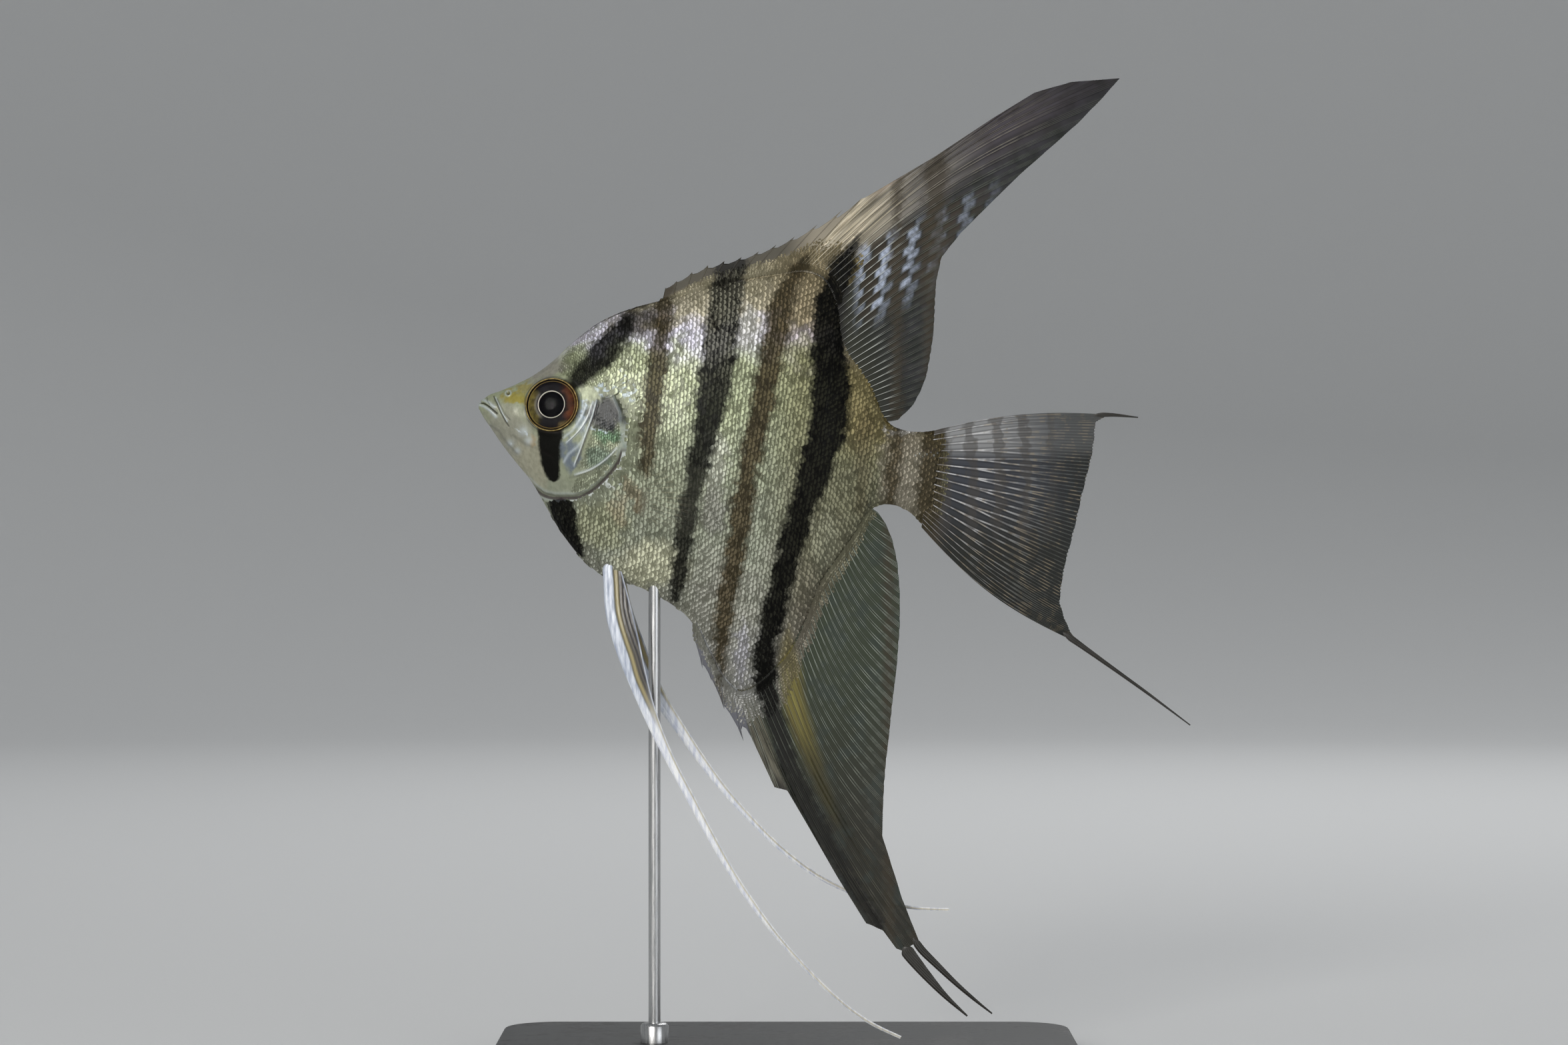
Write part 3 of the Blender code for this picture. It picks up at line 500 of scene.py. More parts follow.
def scale_shape():
    """One scale: along and across from -1 to 1, its rise, its triangles, and where they lie."""
    u, v = np.meshgrid(np.linspace(0, 1, SCALE_ALONG + 1), np.linspace(-1, 1, SCALE_ACROSS + 1),
                       indexing="ij")
    along = -0.38 + u * (1 - 0.2 * v**2)
    across = 0.5 * v * np.sin(math.pi * (0.24 + 0.52 * u)) ** 0.6
    lift = u**1.4 - 0.14 * v**2 * (0.3 + u)
    top = np.stack([along, across, lift], -1).reshape(-1, 3)
    marks = np.stack([u, v], -1).reshape(-1, 2)
    quads = grid_faces(SCALE_ALONG + 1, SCALE_ACROSS + 1)[0]
    columns, rows = SCALE_ACROSS + 1, SCALE_ALONG + 1
    rim = [
        *range(columns), *range(2 * columns - 1, rows * columns, columns),
        *range(rows * columns - 2, (rows - 1) * columns - 1, -1),
        *range((rows - 2) * columns, 0, -columns),
    ]
    under = len(top)
    top = np.vstack([top, [[0.1, 0.0, -0.5]]])
    marks = np.vstack([marks, [[0.5, 0.0]]])
    triangles = np.vstack([
        quads[:, [0, 2, 1]], quads[:, [0, 3, 2]],
        [[rim[i], rim[(i + 1) % len(rim)], under] for i in range(len(rim))],
    ])
    return top, triangles, marks


def section_lengths(points):
    """Along the fish's axis, and up each section from the axis, in millimetres."""
    front, rear = np.array(AXIS_FRONT), np.array(AXIS_REAR)
    normal = np.array([-(rear - front)[1], (rear - front)[0]])
    flat = points[..., [0, 2]]
    above = (flat - front) @ normal
    first = np.argmax(above > 0, axis=1)
    rows = np.arange(len(points))
    steps = np.linalg.norm(np.diff(points, axis=1), axis=-1)
    up = np.concatenate([np.zeros((len(points), 1)), np.cumsum(steps, axis=1)], axis=1)
    up -= up[rows, first][:, None]
    middle = points[rows, first]
    forward = np.concatenate([[0], np.cumsum(np.linalg.norm(np.diff(middle, axis=0), axis=-1))])
    return forward, up


def scale_places(side, kind):
    """A staggered lattice of scales over the left side: roots, frames and map places."""
    spacing, step_up, *_ = SCALE_KINDS[kind]
    points = side["points"][SNOUT_ROWS:]
    normals = side["normals"][SNOUT_ROWS:]
    axis = np.array([AXIS_REAR[0] - AXIS_FRONT[0], 0, AXIS_REAR[1] - AXIS_FRONT[1]])
    tailward = unit(side["tailward"][SNOUT_ROWS:] + 0.8 * unit(axis))
    forward, up = section_lengths(points)
    packed = np.concatenate([points, normals, tailward], -1)
    rng = np.random.default_rng(SCALE_SEEDS[kind])
    found = []
    for k in range(int(forward[-1] / spacing) + 1):
        row = np.interp(k * spacing, forward, np.arange(len(forward)))
        i = min(int(row), len(forward) - 2)
        share = row - i
        column = packed[i] * (1 - share) + packed[i + 1] * share
        lengths = up[i] * (1 - share) + up[i + 1] * share
        low = math.ceil(lengths[0] / step_up) - 1
        high = math.floor(lengths[-1] / step_up) + 1
        levels = (np.arange(low, high + 1) + 0.5 * (k % 2)) * step_up
        levels = levels + rng.normal(0, 0.05, len(levels)) * step_up
        levels = levels[(levels > lengths[0] + 0.15) & (levels < lengths[-1] - 0.15)]
        if len(levels) and lengths[-1] - levels[-1] > 0.4:
            levels = np.append(levels, lengths[-1] - 0.12)
        at = np.interp(levels, lengths, np.arange(len(lengths)))
        j = np.minimum(at.astype(int), len(lengths) - 2)
        part = (at - j)[:, None]
        rows = column[j] * (1 - part) + column[j + 1] * part
        places = np.stack([np.full(len(levels), k * spacing), levels], -1)
        found.append(np.concatenate([rows, places], -1))
    return np.concatenate(found)


def share_scaled(kind, x, z):
    """How large the scales of a kind are at a place, from 0 for none to 1."""
    eye = np.hypot(x - EYE_CENTRE[0], z - EYE_CENTRE[2])
    edge, side = line_distance(GILL_EDGE, x, z)
    ahead = (side > 0) & (x < FACE_REAR)
    nape = rise(x + 0.30 * (z - 111), -30.4, -28.9)
    if kind == "flank":
        near = 0.3 + 0.42 * rise(-z, -104, -100)
        behind = np.where(side < 0, rise(edge, near - 0.3, near + 1.2), 0)
        return np.where((z > FACE_TOP) & (x > BROW_REAR), nape, np.where(ahead, 0, behind))
    line = line_distance(RIDGES["gill_line"][0], x, z)[0]
    cover = rise(x - 0.36 * (z - 99), -34.0, -33.0) * rise(edge, 0.45, 0.85) * rise(-z, -113.5, -112)
    cover = cover * rise(line, 0.4, 0.7)
    brow = rise(x - 0.35 * (z - 114), -38.4, -35.6) * rise(z, 111.5, 113.5)
    both = np.where(ahead | (z > FACE_TOP), np.maximum(cover, brow), 0)
    return both * rise(eye, 5.2, 5.9) * (1 - nape)


def scale_pieces(kind, rows, sizes, seed, material, bright=1.0):
    """Joined scales for each side of the fish, from places on its left."""
    _, _, length, width, stand = SCALE_KINDS[kind]
    shape, triangles, marks = scale_shape()
    rng = np.random.default_rng(seed)
    count = len(rows)
    size = rng.normal(1, 0.06, (count, 1, 1)) * sizes[:, None, None]
    tilt = rng.normal(0, 0.02, (count, 1, 1)) * length
    root, normal, along = rows[:, None, 0:3], rows[:, None, 3:6], rows[:, None, 6:9]
    up = unit(np.cross(along, normal))
    along = unit(np.cross(normal, up))
    a, c, n = shape[None, :, 0:1], shape[None, :, 1:2], shape[None, :, 2:3]
    points = (
        root + along * a * length * size + up * c * width * size
        + normal * (0.02 + stand * n * (0.8 + 0.4 * size) + tilt * (a * 0.7 + c * 0.5))
    )
    chance = np.repeat(rng.random((count, 1)) * bright, len(shape), axis=1)
    marked = np.concatenate([np.repeat(marks[None], count, axis=0), chance[..., None]], -1)
    roots = np.repeat(rows[:, None, 0:3], len(shape), axis=1)
    base = rows[:, None, 9:11] / MAP_SPAN
    base = base - base.min(axis=(0, 1)) + 0.02
    place = base + shape[None, :, 0:2] * MAP_PATCH
    shares = 1 + count * len(triangles) // PIECE_LIMIT
    order = np.argsort(rows[:, 9], kind="stable")
    for part, chosen in zip(PART_NAMES[shares], np.array_split(order, shares)):
        faces = (triangles[None] + np.arange(len(chosen))[:, None, None] * len(shape)).reshape(-1, 3)
        for hand, mirror in (("left", 1), ("right", -1)):
            turned = faces[:, ::-mirror]
            side = np.array([1, mirror, 1])
            piece = add_piece(f"{kind}_scales{part}_{hand}", points[chosen] * side, turned.tolist(),
                              material, sharp=55)
            store(piece, "scale", marked[chosen])
            store(piece, "root", roots[chosen] * side)
            store_map(piece, place[chosen].reshape(-1, 2)[turned])


def make_body_scales(side, kind, material):
    rows = scale_places(side, kind)
    shares = share_scaled(kind, rows[:, 0], rows[:, 2])
    rows, shares = rows[shares > LEAST_SCALE], shares[shares > LEAST_SCALE]
    sizes = (0.62 + 0.38 * rise(-rows[:, 1], 0.4, 3.0)) * (0.42 + 0.58 * shares)
    sizes = sizes * (1 - 0.25 * rise(rows[:, 0], 10, 22))
    scale_pieces(kind, rows, sizes, SCALE_SEEDS[kind] + 1, material)


# ------------------------------------------------------------------ fins

FIN_CLEARANCE, FIN_SINK, TAIL_SINK, ROW_STEP = 0.4, 0.9, 1.2, 0.05
DORSAL_SPINES, DORSAL_SPINE_ROOTS, DORSAL_DIP = 12, (9.9, 14.5), 0.78
DORSAL_SPINE_TIPS = [(-20, 128.5), (-13.6, 132.0), (-6, 134.0), (2.2, 137.4), (12.3, 143.2)]
DORSAL_RAYS = [
    (14.62, 12.9, 143.4, 0.1), (14.90, 24.5, 150.2, 1.0), (15.10, 34.0, 156.5, 0.7),
    (15.30, 41.0, 160.8, 1.2), (15.50, 47.0, 162.5, 2.6), (15.70, 55.0, 163.1, 3.6),
    (15.95, 52.0, 159.7, 3.0), (16.25, 48.1, 155.7, 2.4), (16.60, 43.5, 151.6, 1.9),
    (17.00, 38.5, 147.2, 1.5), (17.45, 33.5, 142.3, 1.1), (17.90, 28.8, 137.6, 0.7),
    (18.35, 25.6, 133.6, 0.5), (18.80, 24.7, 129.6, 0.3), (19.30, 24.5, 126.3, 0.2),
    (19.85, 24.4, 123.6, 0.1), (20.45, 24.2, 120.6, 0.0), (21.05, 23.7, 117.2, 0.0),
    (21.50, 23.1, 114.0, 0.0), (21.95, 22.1, 111.4, -0.1), (22.35, 20.8, 109.0, -0.1),
    (22.80, 18.4, 106.7, 0.0),
]
ANAL_DIP = 0.72
ANAL_SPINES = [
    (12.10, -15.5, 71.6, 0.0), (12.50, -13.9, 65.6, 0.0), (13.00, -12.4, 63.6, 0.0),
    (13.70, -10.3, 58.9, 0.0), (14.45, -7.1, 53.6, 0.0), (14.80, -5.9, 54.4, 0.0),
]
ANAL_RAYS = [
    (15.05, -2.0, 46.0, 0.0), (15.20, 0.1, 45.5, 0.0), (15.35, 3.8, 39.2, -0.4),
    (15.50, 8.4, 31.2, -0.8), (15.65, 13.1, 23.6, -1.2), (15.80, 15.9, 22.4, -1.3),
    (15.95, 18.1, 19.4, -1.4), (16.10, 19.5, 18.9, -1.5), (16.30, 20.7, 20.0, -1.6),
    (16.50, 22.0, 20.3, -1.8), (16.80, 20.6, 23.8, -2.0), (17.10, 19.1, 27.6, -2.2),
    (17.40, 17.4, 33.0, -2.2), (17.75, 15.8, 38.0, -2.2), (18.15, 15.9, 42.4, -2.1),
    (18.50, 16.1, 46.4, -1.9), (18.95, 16.4, 50.2, -1.8), (19.40, 16.9, 54.4, -1.7),
    (20.00, 17.5, 60.2, -1.6), (20.60, 18.2, 66.0, -1.4), (21.30, 18.7, 72.6, -1.1),
    (21.90, 18.7, 78.4, -0.8), (22.35, 18.3, 83.2, -0.5), (22.65, 17.5, 86.8, -0.3),
    (22.85, 16.4, 89.5, 0.0), (23.00, 15.1, 91.4, 0.0),
]
CAUDAL_RAYS = [
    (0.00, 53.3, 107.6, 1.3), (0.06, 51.0, 106.3, 0.9), (0.14, 50.8, 103.6, 0.6),
    (0.22, 50.4, 100.8, 0.3), (0.31, 49.6, 97.6, 0.1), (0.40, 48.7, 94.0, 0.0),
    (0.49, 47.9, 90.3, 0.0), (0.58, 47.0, 86.7, 0.0), (0.67, 46.0, 83.0, -0.2),
    (0.75, 45.4, 79.6, -0.4), (0.82, 45.1, 76.6, -0.7), (0.88, 45.9, 73.9, -1.0),
    (0.94, 47.0, 71.5, -1.5), (1.00, 48.2, 69.8, -2.0),
]
PECTORAL_ROOT = ((-26.0, 96.5), (-25.3, 91.7))
PECTORAL_TIPS = [
    (-16.8, 100.2), (-13.6, 98.7), (-11.5, 96.5), (-10.5, 93.8), (-10.7, 91.2),
    (-12.2, 88.9), (-14.9, 87.4), (-18.4, 87.2),
]
PECTORAL_ROOT_Y, PECTORAL_TIP_Y = 4.7, 10.2
RAY_SAMPLES, SPINE_SAMPLES = 16, 36
DORSAL_RAY_COUNT, ANAL_RAY_COUNT, TAIL_RAY_COUNT, PECTORAL_RAY_COUNT = 37, 40, 18, 13
# Where along a fin its rays split first and again, and how far apart, in shares of their spacing
FIN_SPLITS = {
    "dorsal": (0.12, 0.55, 0.13), "anal": (0.04, 0.6, 0.13), "tail": (0.2, 0.5, 0.25),
    "pectoral": (0.35, 0.7, 0.2), "spines": (2.0, 2.0, 0.0),
}
RAY_WIDTHS = {"dorsal": 0.075, "anal": 0.065, "tail": 0.12, "pectoral": 0.07, "spines": 0.12}
FIN_ROOT_HALF, FIN_RIM_HALF, FIN_SWELL = 0.36, 0.05, 0.35


def edge_roots(places, side, out):
    """Points on the body's outline, moved out by a distance: side is 1 for the back, -1 for the belly."""
    columns = slice(0, 2) if side > 0 else slice(2, 4)
    here = smooth_rows(BODY, places)[:, columns]
    along = unit(smooth_rows(BODY, places + ROW_STEP)[:, columns] - here)
    return here + np.stack([-along[:, 1], along[:, 0]], -1) * side * out


def between_rows(table, shares):
    """The rows of a table at shares from 0 to 1 of its length, straight between its own rows."""
    table = np.asarray(table, float)
    at = shares * (len(table) - 1)
    return np.stack([np.interp(at, np.arange(len(table)), column) for column in table.T], -1)


def split(phase, t, first, second, apart):
    """1 on a ray and 0 in the membrane between. A ray splits in two, then in four."""
    off = np.abs(phase % 1 - 0.5)
    off = np.abs(off - apart * rise(t, first, first + 0.4))
    off = np.abs(off - apart / 2 * rise(t, second, second + 0.35))
    return bump(off, 0.12 - 0.06 * rise(t, first, 1.0))


def fin_piece(name, kind, roots, tips, bows, rays, material, slot, node, *, steps, fray=0.0,
              halves=(FIN_ROOT_HALF, FIN_RIM_HALF), depth=None, raised=1.0, order=-1):
    """A fin with raised, branching rays on both faces and a rim frayed between their tips.

    halves are its half-thickness at the root and the rim, and depth gives how far each place
    lies from the plane of the fish.
    """
    phase = np.linspace(0, rays, len(roots))[:, None] + 0.5
    t = np.linspace(0, 1, steps + 1)[None, :]
    run = tips - roots
    length = np.linalg.norm(run, axis=1)[:, None]
    ray = split(phase, t, *FIN_SPLITS[kind])
    lost = fray * (1 - ray[:, -1:]) * (0.6 + 0.4 * np.sin(phase * 5.3))
    reach = t * (1 - rise(t, 0.8, 1.0) * lost / np.maximum(length, 1))
    left = unit(np.stack([-run[:, 1], run[:, 0]], -1))
    bow = (bows[:, None] * np.sin(math.pi * reach))[..., None]
    flat = roots[:, None] + run[:, None] * reach[..., None] + left[:, None] * bow
    half = halves[1] + (halves[0] - halves[1]) * (1 - rise(t, 0.0, FIN_SWELL))
    half = half + (0.13 - 0.08 * t) * ray * raised
    half = half * (1 - 0.7 * rise(t, 0.97, 1.0))
    x, z = flat[..., 0], flat[..., 1]
    y = depth(x, z, t) if depth else np.zeros_like(x)
    near, far = np.stack([x, y - half, z], -1), np.stack([x, y + half, z], -1)
    piece = ring_piece(name, np.concatenate([near, far[:, ::-1]], axis=1), material, (node,),
                       order=order, sharp=70)
    marks = np.stack(np.broadcast_arrays(phase, t, phase / rays), -1)
    store(piece, "ray", np.concatenate([marks, marks[:, ::-1]], axis=1))


def even_shares(roots, tips, count, level=0.35):
    """Shares of a table that space its rays evenly at one level between roots and tips."""
    steps = np.diff(roots + (tips - roots) * level, axis=0)
    ways = unit(tips - roots)[:-1]
    spread = np.abs(steps[:, 0] * ways[:, 1] - steps[:, 1] * ways[:, 0])
    spread = spread + 0.12 * np.linalg.norm(steps, axis=1)
    run = np.concatenate([[0], np.cumsum(spread)])
    return np.interp(np.linspace(0, run[-1], count), run, np.linspace(0, 1, len(run)))


def edge_fin(name, kind, table, side, rays, material, node, *, even=True, **shape):
    """A fin on the back, side 1, or the belly, side -1. even spaces its rays evenly."""
    count = rays * (RAY_SAMPLES if even else SPINE_SAMPLES) + 1
    shares = np.linspace(0, 1, count)
    if even:
        fine = between_rows(table, np.linspace(0, 1, 600))
        shares = even_shares(edge_roots(fine[:, 0], side, -FIN_SINK), fine[:, 1:3], count)
    rows = between_rows(table, shares)
    roots = edge_roots(rows[:, 0], side, -FIN_SINK)
    fin_piece(name, kind, roots, rows[:, 1:3], rows[:, 3], rays, material, "fin_dusky", node,
              order=-side, **shape)


def dorsal_spine_rows():
    first, last = DORSAL_SPINE_ROOTS
    shares = np.linspace(0, 1, DORSAL_SPINES)
    tips = smooth_rows(DORSAL_SPINE_TIPS, shares * (len(DORSAL_SPINE_TIPS) - 1))
    return np.column_stack([first + (last - first) * shares, tips, np.zeros(DORSAL_SPINES)])


def with_dips(rows, side, reach):
    """The rows with three shorter ones between each pair, so that the tips stand out like spines."""
    rows = np.asarray(rows, float)
    found = [rows[0]]
    for first, second in zip(rows[:-1], rows[1:]):
        for share, part in ((0.14, reach + 0.07), (0.5, reach), (0.86, reach + 0.07)):
            row = first + (second - first) * share
            root = edge_roots(row[:1], side, FIN_CLEARANCE)[0]
            row[1:3] = root + (row[1:3] - root) * part
            found.append(row)
        found.append(second)
    return np.array(found)


def sway(amount, seed):
    """How far a fin leaves the plane of the fish: nothing at its root and most at its rim."""
    return lambda x, z, t: amount * t**1.5 * waves(x, z, seed, count=6, longest=40, shortest=18)


def make_edge_fins(materials):
    spines = dorsal_spine_rows()
    edge_fin("dorsal_spine_web", "spines", with_dips(spines, 1, DORSAL_DIP), 1, DORSAL_SPINES - 1,
             materials["dorsal_spines"], "dorsal_spines", even=False, steps=24, halves=(0.4, 0.1))
    edge_fin("dorsal_ray_web", "dorsal", [spines[-1], *DORSAL_RAYS], 1, DORSAL_RAY_COUNT,
             materials["dorsal"], "dorsal_fin", steps=62, fray=0.12, depth=sway(0.35, 3))
    edge_fin("anal_spine_web", "spines", with_dips(ANAL_SPINES, -1, ANAL_DIP), -1, len(ANAL_SPINES) - 1,
             materials["anal_spines"], "anal_spines", even=False, steps=30, halves=(0.4, 0.1))
    edge_fin("anal_ray_web", "anal", [ANAL_SPINES[-1], *ANAL_RAYS], -1, ANAL_RAY_COUNT,
             materials["anal"], "anal_fin", steps=58, fray=0.1, depth=sway(0.35, 5))


def tail_roots(shares):
    """Places on the body's rear edge, at shares from 0 at its top to 1 at its bottom."""
    top, bottom = np.array(BODY[-1][0:2]), np.array(BODY[-1][2:4])
    return top + (bottom - top) * shares[:, None]


def make_tail_fin(material):
    rows = between_rows(CAUDAL_RAYS, np.linspace(0, 1, TAIL_RAY_COUNT * RAY_SAMPLES + 1))
    roots = tail_roots(rows[:, 0])
    roots = roots - unit(rows[:, 1:3] - roots) * TAIL_SINK
    fin_piece("tail_web", "tail", roots, rows[:, 1:3], rows[:, 3], TAIL_RAY_COUNT, material, "fin_tail",
              "caudal_fin", steps=72, fray=0.22, halves=(0.55, 0.05), depth=sway(0.4, 11))


def base_rows(roots, tips, reach, offset, thick=FIN_ROOT_HALF, shoulder=0.0):
    """Places for small scales over the root of a fin, reach millimetres out from the body."""
    along, up, *_ = SCALE_KINDS["fin_base"]
    run = np.concatenate([[0], np.cumsum(np.linalg.norm(np.diff(roots, axis=0), axis=1))])
    rng = np.random.default_rng(int(offset) + 5)
    found = []
    for k in range(int(reach.max() / along) + 1):
        levels = np.arange(0.2 + 0.5 * (k % 2) * up, run[-1] - 0.2, up)
        levels = levels + rng.normal(0, 0.04, len(levels))
        root = np.stack([np.interp(levels, run, roots[:, i]) for i in (0, 1)], -1)
        tip = np.stack([np.interp(levels, run, tips[:, i]) for i in (0, 1)], -1)
        away = k * along
        length = np.linalg.norm(tip - root, axis=1)
        keep = away < np.interp(levels, run, reach) * rng.uniform(0.75, 1.1, len(levels))
        flat = root + unit(tip - root) * away
        half = FIN_RIM_HALF + (thick - FIN_RIM_HALF) * (1 - rise((away + FIN_SINK) / length, 0, FIN_SWELL))
        one = np.ones(len(levels))
        slope = unit(tip - root)
        lean = shoulder * (1 - rise(away, 0, 0.9)) * one
        outward = unit(np.column_stack([lean * slope[:, 0], -one, lean * slope[:, 1]]))
        tipward = unit(np.column_stack([slope[:, 0], lean, slope[:, 1]]))
        row = np.column_stack([flat[:, 0], -half - 0.02 - lean, flat[:, 1], outward, tipward,
                               one * away + offset, levels,
                               1 - 0.45 * away / np.interp(levels, run, reach)])
        found.append(row[keep])
    return np.concatenate(found)


def make_fin_base_scales(material):
    """Small scales that carry the body's pattern out over the roots of the fins."""
    found = []
    shares = np.linspace(0, 1, 300)
    tables = (
        ([*dorsal_spine_rows(), *DORSAL_RAYS], 1,
         lambda x, z: (1.0 + 2.6 * rise(x, -24, -14) + 3.4 * rise(x, -6, 2))
         * (1 - 1.02 * rise(-z, -130.0, -125.5)), 0),
        ([*ANAL_SPINES, *ANAL_RAYS], -1,
         lambda x, z: 5.5 - 3.0 * rise(z, 62.5, 70) - 1.2 * rise(z, 80, 90), 12),
    )
    for table, side, reach, offset in tables:
        rows = between_rows(np.array(table), shares)
        roots = edge_roots(rows[:, 0], side, -0.3)
        found.append(base_rows(roots, rows[:, 1:3], reach(roots[:, 0], roots[:, 1]), offset, shoulder=0.3))
    rows = between_rows(CAUDAL_RAYS, shares)
    roots = tail_roots(rows[:, 0]) + np.array([-0.6, 0])
    reach = np.where(np.abs(shares - 0.5) < 0.44, 1.2 + 1.7 * np.sin(math.pi * shares) ** 2, -0.01)
    found.append(base_rows(roots, rows[:, 1:3], reach, 24, 0.58))
    rows = np.concatenate(found)
    scale_pieces("fin_base", rows[:, :11], rows[:, 11], SCALE_SEEDS["fin_base"], material, bright=0.15)


def make_pectoral_fins(material):
    top, bottom = np.array(PECTORAL_ROOT)
    shares = np.linspace(0, 1, PECTORAL_RAY_COUNT * 12 + 1)
    roots = top + (bottom - top) * shares[:, None]
    tips = smooth_rows(PECTORAL_TIPS, shares * (len(PECTORAL_TIPS) - 1))
    for name, sign in (("left", -1), ("right", 1)):
        def depth(x, z, t, sign=sign):
            return sign * (PECTORAL_ROOT_Y + (PECTORAL_TIP_Y - PECTORAL_ROOT_Y) * t**0.8)
        fin_piece(f"pectoral_web_{name}", "pectoral", roots, tips, np.zeros(len(tips)), PECTORAL_RAY_COUNT,
                  material, "fin_clear", f"pectoral_fin_{name}", steps=40, fray=0.4, halves=(0.3, 0.04),
                  depth=depth, raised=0.5)


# ------------------------------------------------------------------ pelvic fins and streamers

PELVIC_LEFT = [
    (-28.5, -1.5, 80.2, 3.4, 1.4), (-27.6, -2.3, 75.0, 4.4, 1.2), (-26.3, -2.9, 70.0, 4.2, 1.0),
    (-24.8, -3.2, 65.0, 3.4, 0.9), (-23.1, -3.4, 60.0, 2.5, 0.8), (-21.1, -3.6, 55.0, 1.9, 0.8),
    (-18.6, -3.8, 49.8, 1.5, 0.8), (-15.5, -4.0, 44.0, 1.4, 0.8), (-12.4, -4.2, 38.2, 1.3, 0.7),
    (-9.1, -4.3, 32.5, 1.1, 0.7), (-5.4, -4.4, 27.0, 1.0, 0.6), (-1.3, -4.5, 21.6, 0.8, 0.6),
    (3.4, -4.5, 16.4, 0.7, 0.6), (8.4, -4.5, 11.6, 0.6, 0.5), (13.4, -4.5, 7.9, 0.55, 0.5),
    (18.7, -4.5, 5.3, 0.5, 0.5),
]
PELVIC_RIGHT = [
    (-27.6, 1.5, 79.6, 2.2, 1.4), (-26.7, 2.4, 75.0, 2.5, 1.2), (-25.1, 3.2, 70.0, 2.7, 1.0),
    (-23.3, 3.8, 65.2, 2.7, 0.9), (-20.9, 4.2, 60.4, 2.3, 0.8), (-17.6, 4.6, 55.4, 1.8, 0.8),
    (-14.2, 4.9, 50.4, 1.5, 0.8), (-10.3, 5.2, 45.3, 1.2, 0.7), (-6.0, 5.4, 40.5, 1.0, 0.7),
    (-1.1, 5.5, 35.7, 0.9, 0.6), (4.2, 5.5, 31.6, 0.8, 0.6), (9.6, 5.5, 28.7, 0.7, 0.6),
    (15.2, 5.4, 26.8, 0.6, 0.5), (21.0, 5.3, 25.7, 0.55, 0.5), (27.0, 5.2, 25.4, 0.5, 0.5),
]
STREAMERS = {
    "anal_streamer_front": [
        (19.3, 0, 19.8, 2.3, 0.4), (20.7, 0, 17.9, 2.1, 0.5), (23.1, 0, 15.0, 1.6, 0.5),
        (26.2, 0, 11.6, 0.9, 0.45), (29.8, 0, 8.3, 0.3, 0.3),
    ],
    "anal_streamer_rear": [
        (20.9, 0, 21.2, 1.2, 0.4), (22.3, 0, 19.2, 1.3, 0.5), (24.9, 0, 16.6, 1.1, 0.5),
        (27.8, 0, 13.8, 0.8, 0.45), (30.9, 0, 11.1, 0.55, 0.4), (33.9, 0, 8.7, 0.25, 0.25),
    ],
    "caudal_streamer_upper": [
        (50.6, 0, 107.5, 0.9, 0.3), (53.9, 0, 107.5, 0.6, 0.35), (58.0, 0, 107.1, 0.2, 0.2),
    ],
    "caudal_streamer_lower": [
        (45.6, 0, 71.6, 1.3, 0.4), (48.8, 0, 69.3, 0.9, 0.5), (54.8, 0, 65.0, 0.6, 0.45),
        (60.2, 0, 61.1, 0.45, 0.4), (66.6, 0, 56.3, 0.2, 0.2),
    ],
}
RIBBON_ACROSS, RIBBON_STEPS_PER_ROW = 26, 14


def ribbon(name, rows, section, material, replaced):
    """A flat tapering blade. section gives its half-thickness and tint across and along it."""
    count = (len(rows) - 1) * RIBBON_STEPS_PER_ROW + 1
    fine = smooth_rows(rows, np.linspace(0, len(rows) - 1, count))
    along = unit(np.gradient(fine[:, :3], axis=0))
    across = unit(np.cross(along, [0, 1, 0]))
    out = unit(np.cross(across, along))
    c = np.linspace(-1, 1, RIBBON_ACROSS)[None, :]
    steps = np.arange(count)
    start = steps[:, None] / RIBBON_STEPS_PER_ROW
    width, thick = fine[:, 3:4] * rise(start, -0.15, 0.6), fine[:, 4:5]
    level = np.broadcast_to(fine[:, 2:3], (count, RIBBON_ACROSS))
    half, tint = section((c + 1) / 2 * width, (1 - c) / 2 * width, level, thick)
    end = np.minimum(steps / 4, (count - 1 - steps) / 10)
    half = half * np.clip(end, 0.05, 1)[:, None] ** 0.5
    middle = fine[:, None, :3] + across[:, None] * (c * width / 2)[..., None]
    near = middle - out[:, None] * half[..., None]
    far = middle + out[:, None] * half[..., None]
    ring = np.concatenate([near, far[:, -2:0:-1]], axis=1)
    piece = ring_piece(name, ring, material, replaced, order=-1, sharp=60)
    store(piece, "tint", np.concatenate([tint, tint[:, -2:0:-1]], axis=1))


def pelvic_section(spine_end, dark_end):
    """The blade's make-up: a white spine in front, then fine rays in a dark web, pale behind."""
    def section(front, rear, level, thick):
        spine = 1.25 + 0.45 * rise(level, spine_end - 2.5, spine_end + 2.5)
        web = rise(level, dark_end - 4, dark_end + 5)
        white = 1 - web * rise(front, spine - 0.12, spine + 0.12)
        lines = 0.5 + 0.5 * np.cos(2 * math.pi * (front - spine) / 0.62)
        gold = (1 - white) * bump(front - spine - 0.42, 0.34) + 0.8 * (1 - web) * bump(rear - 0.28, 0.13)
        pale = bump(rear - 0.1, 0.12) * web
        tint = np.stack([np.clip(white + pale, 0, 1), np.clip(gold, 0, 1), lines * (1 - white)], -1)
        body = np.clip(np.minimum(front, rear) / 0.35, 0.12, 1) ** 0.5
        full = thick / 2 * body
        thin = 0.12 + 0.1 * lines
        grooves = 0.07 * bump(front - spine * 0.55, 0.12) + 0.05 * bump(front - spine * 0.3, 0.1)
        return full * white + thin * (1 - white) * body - grooves * white, tint
    return section


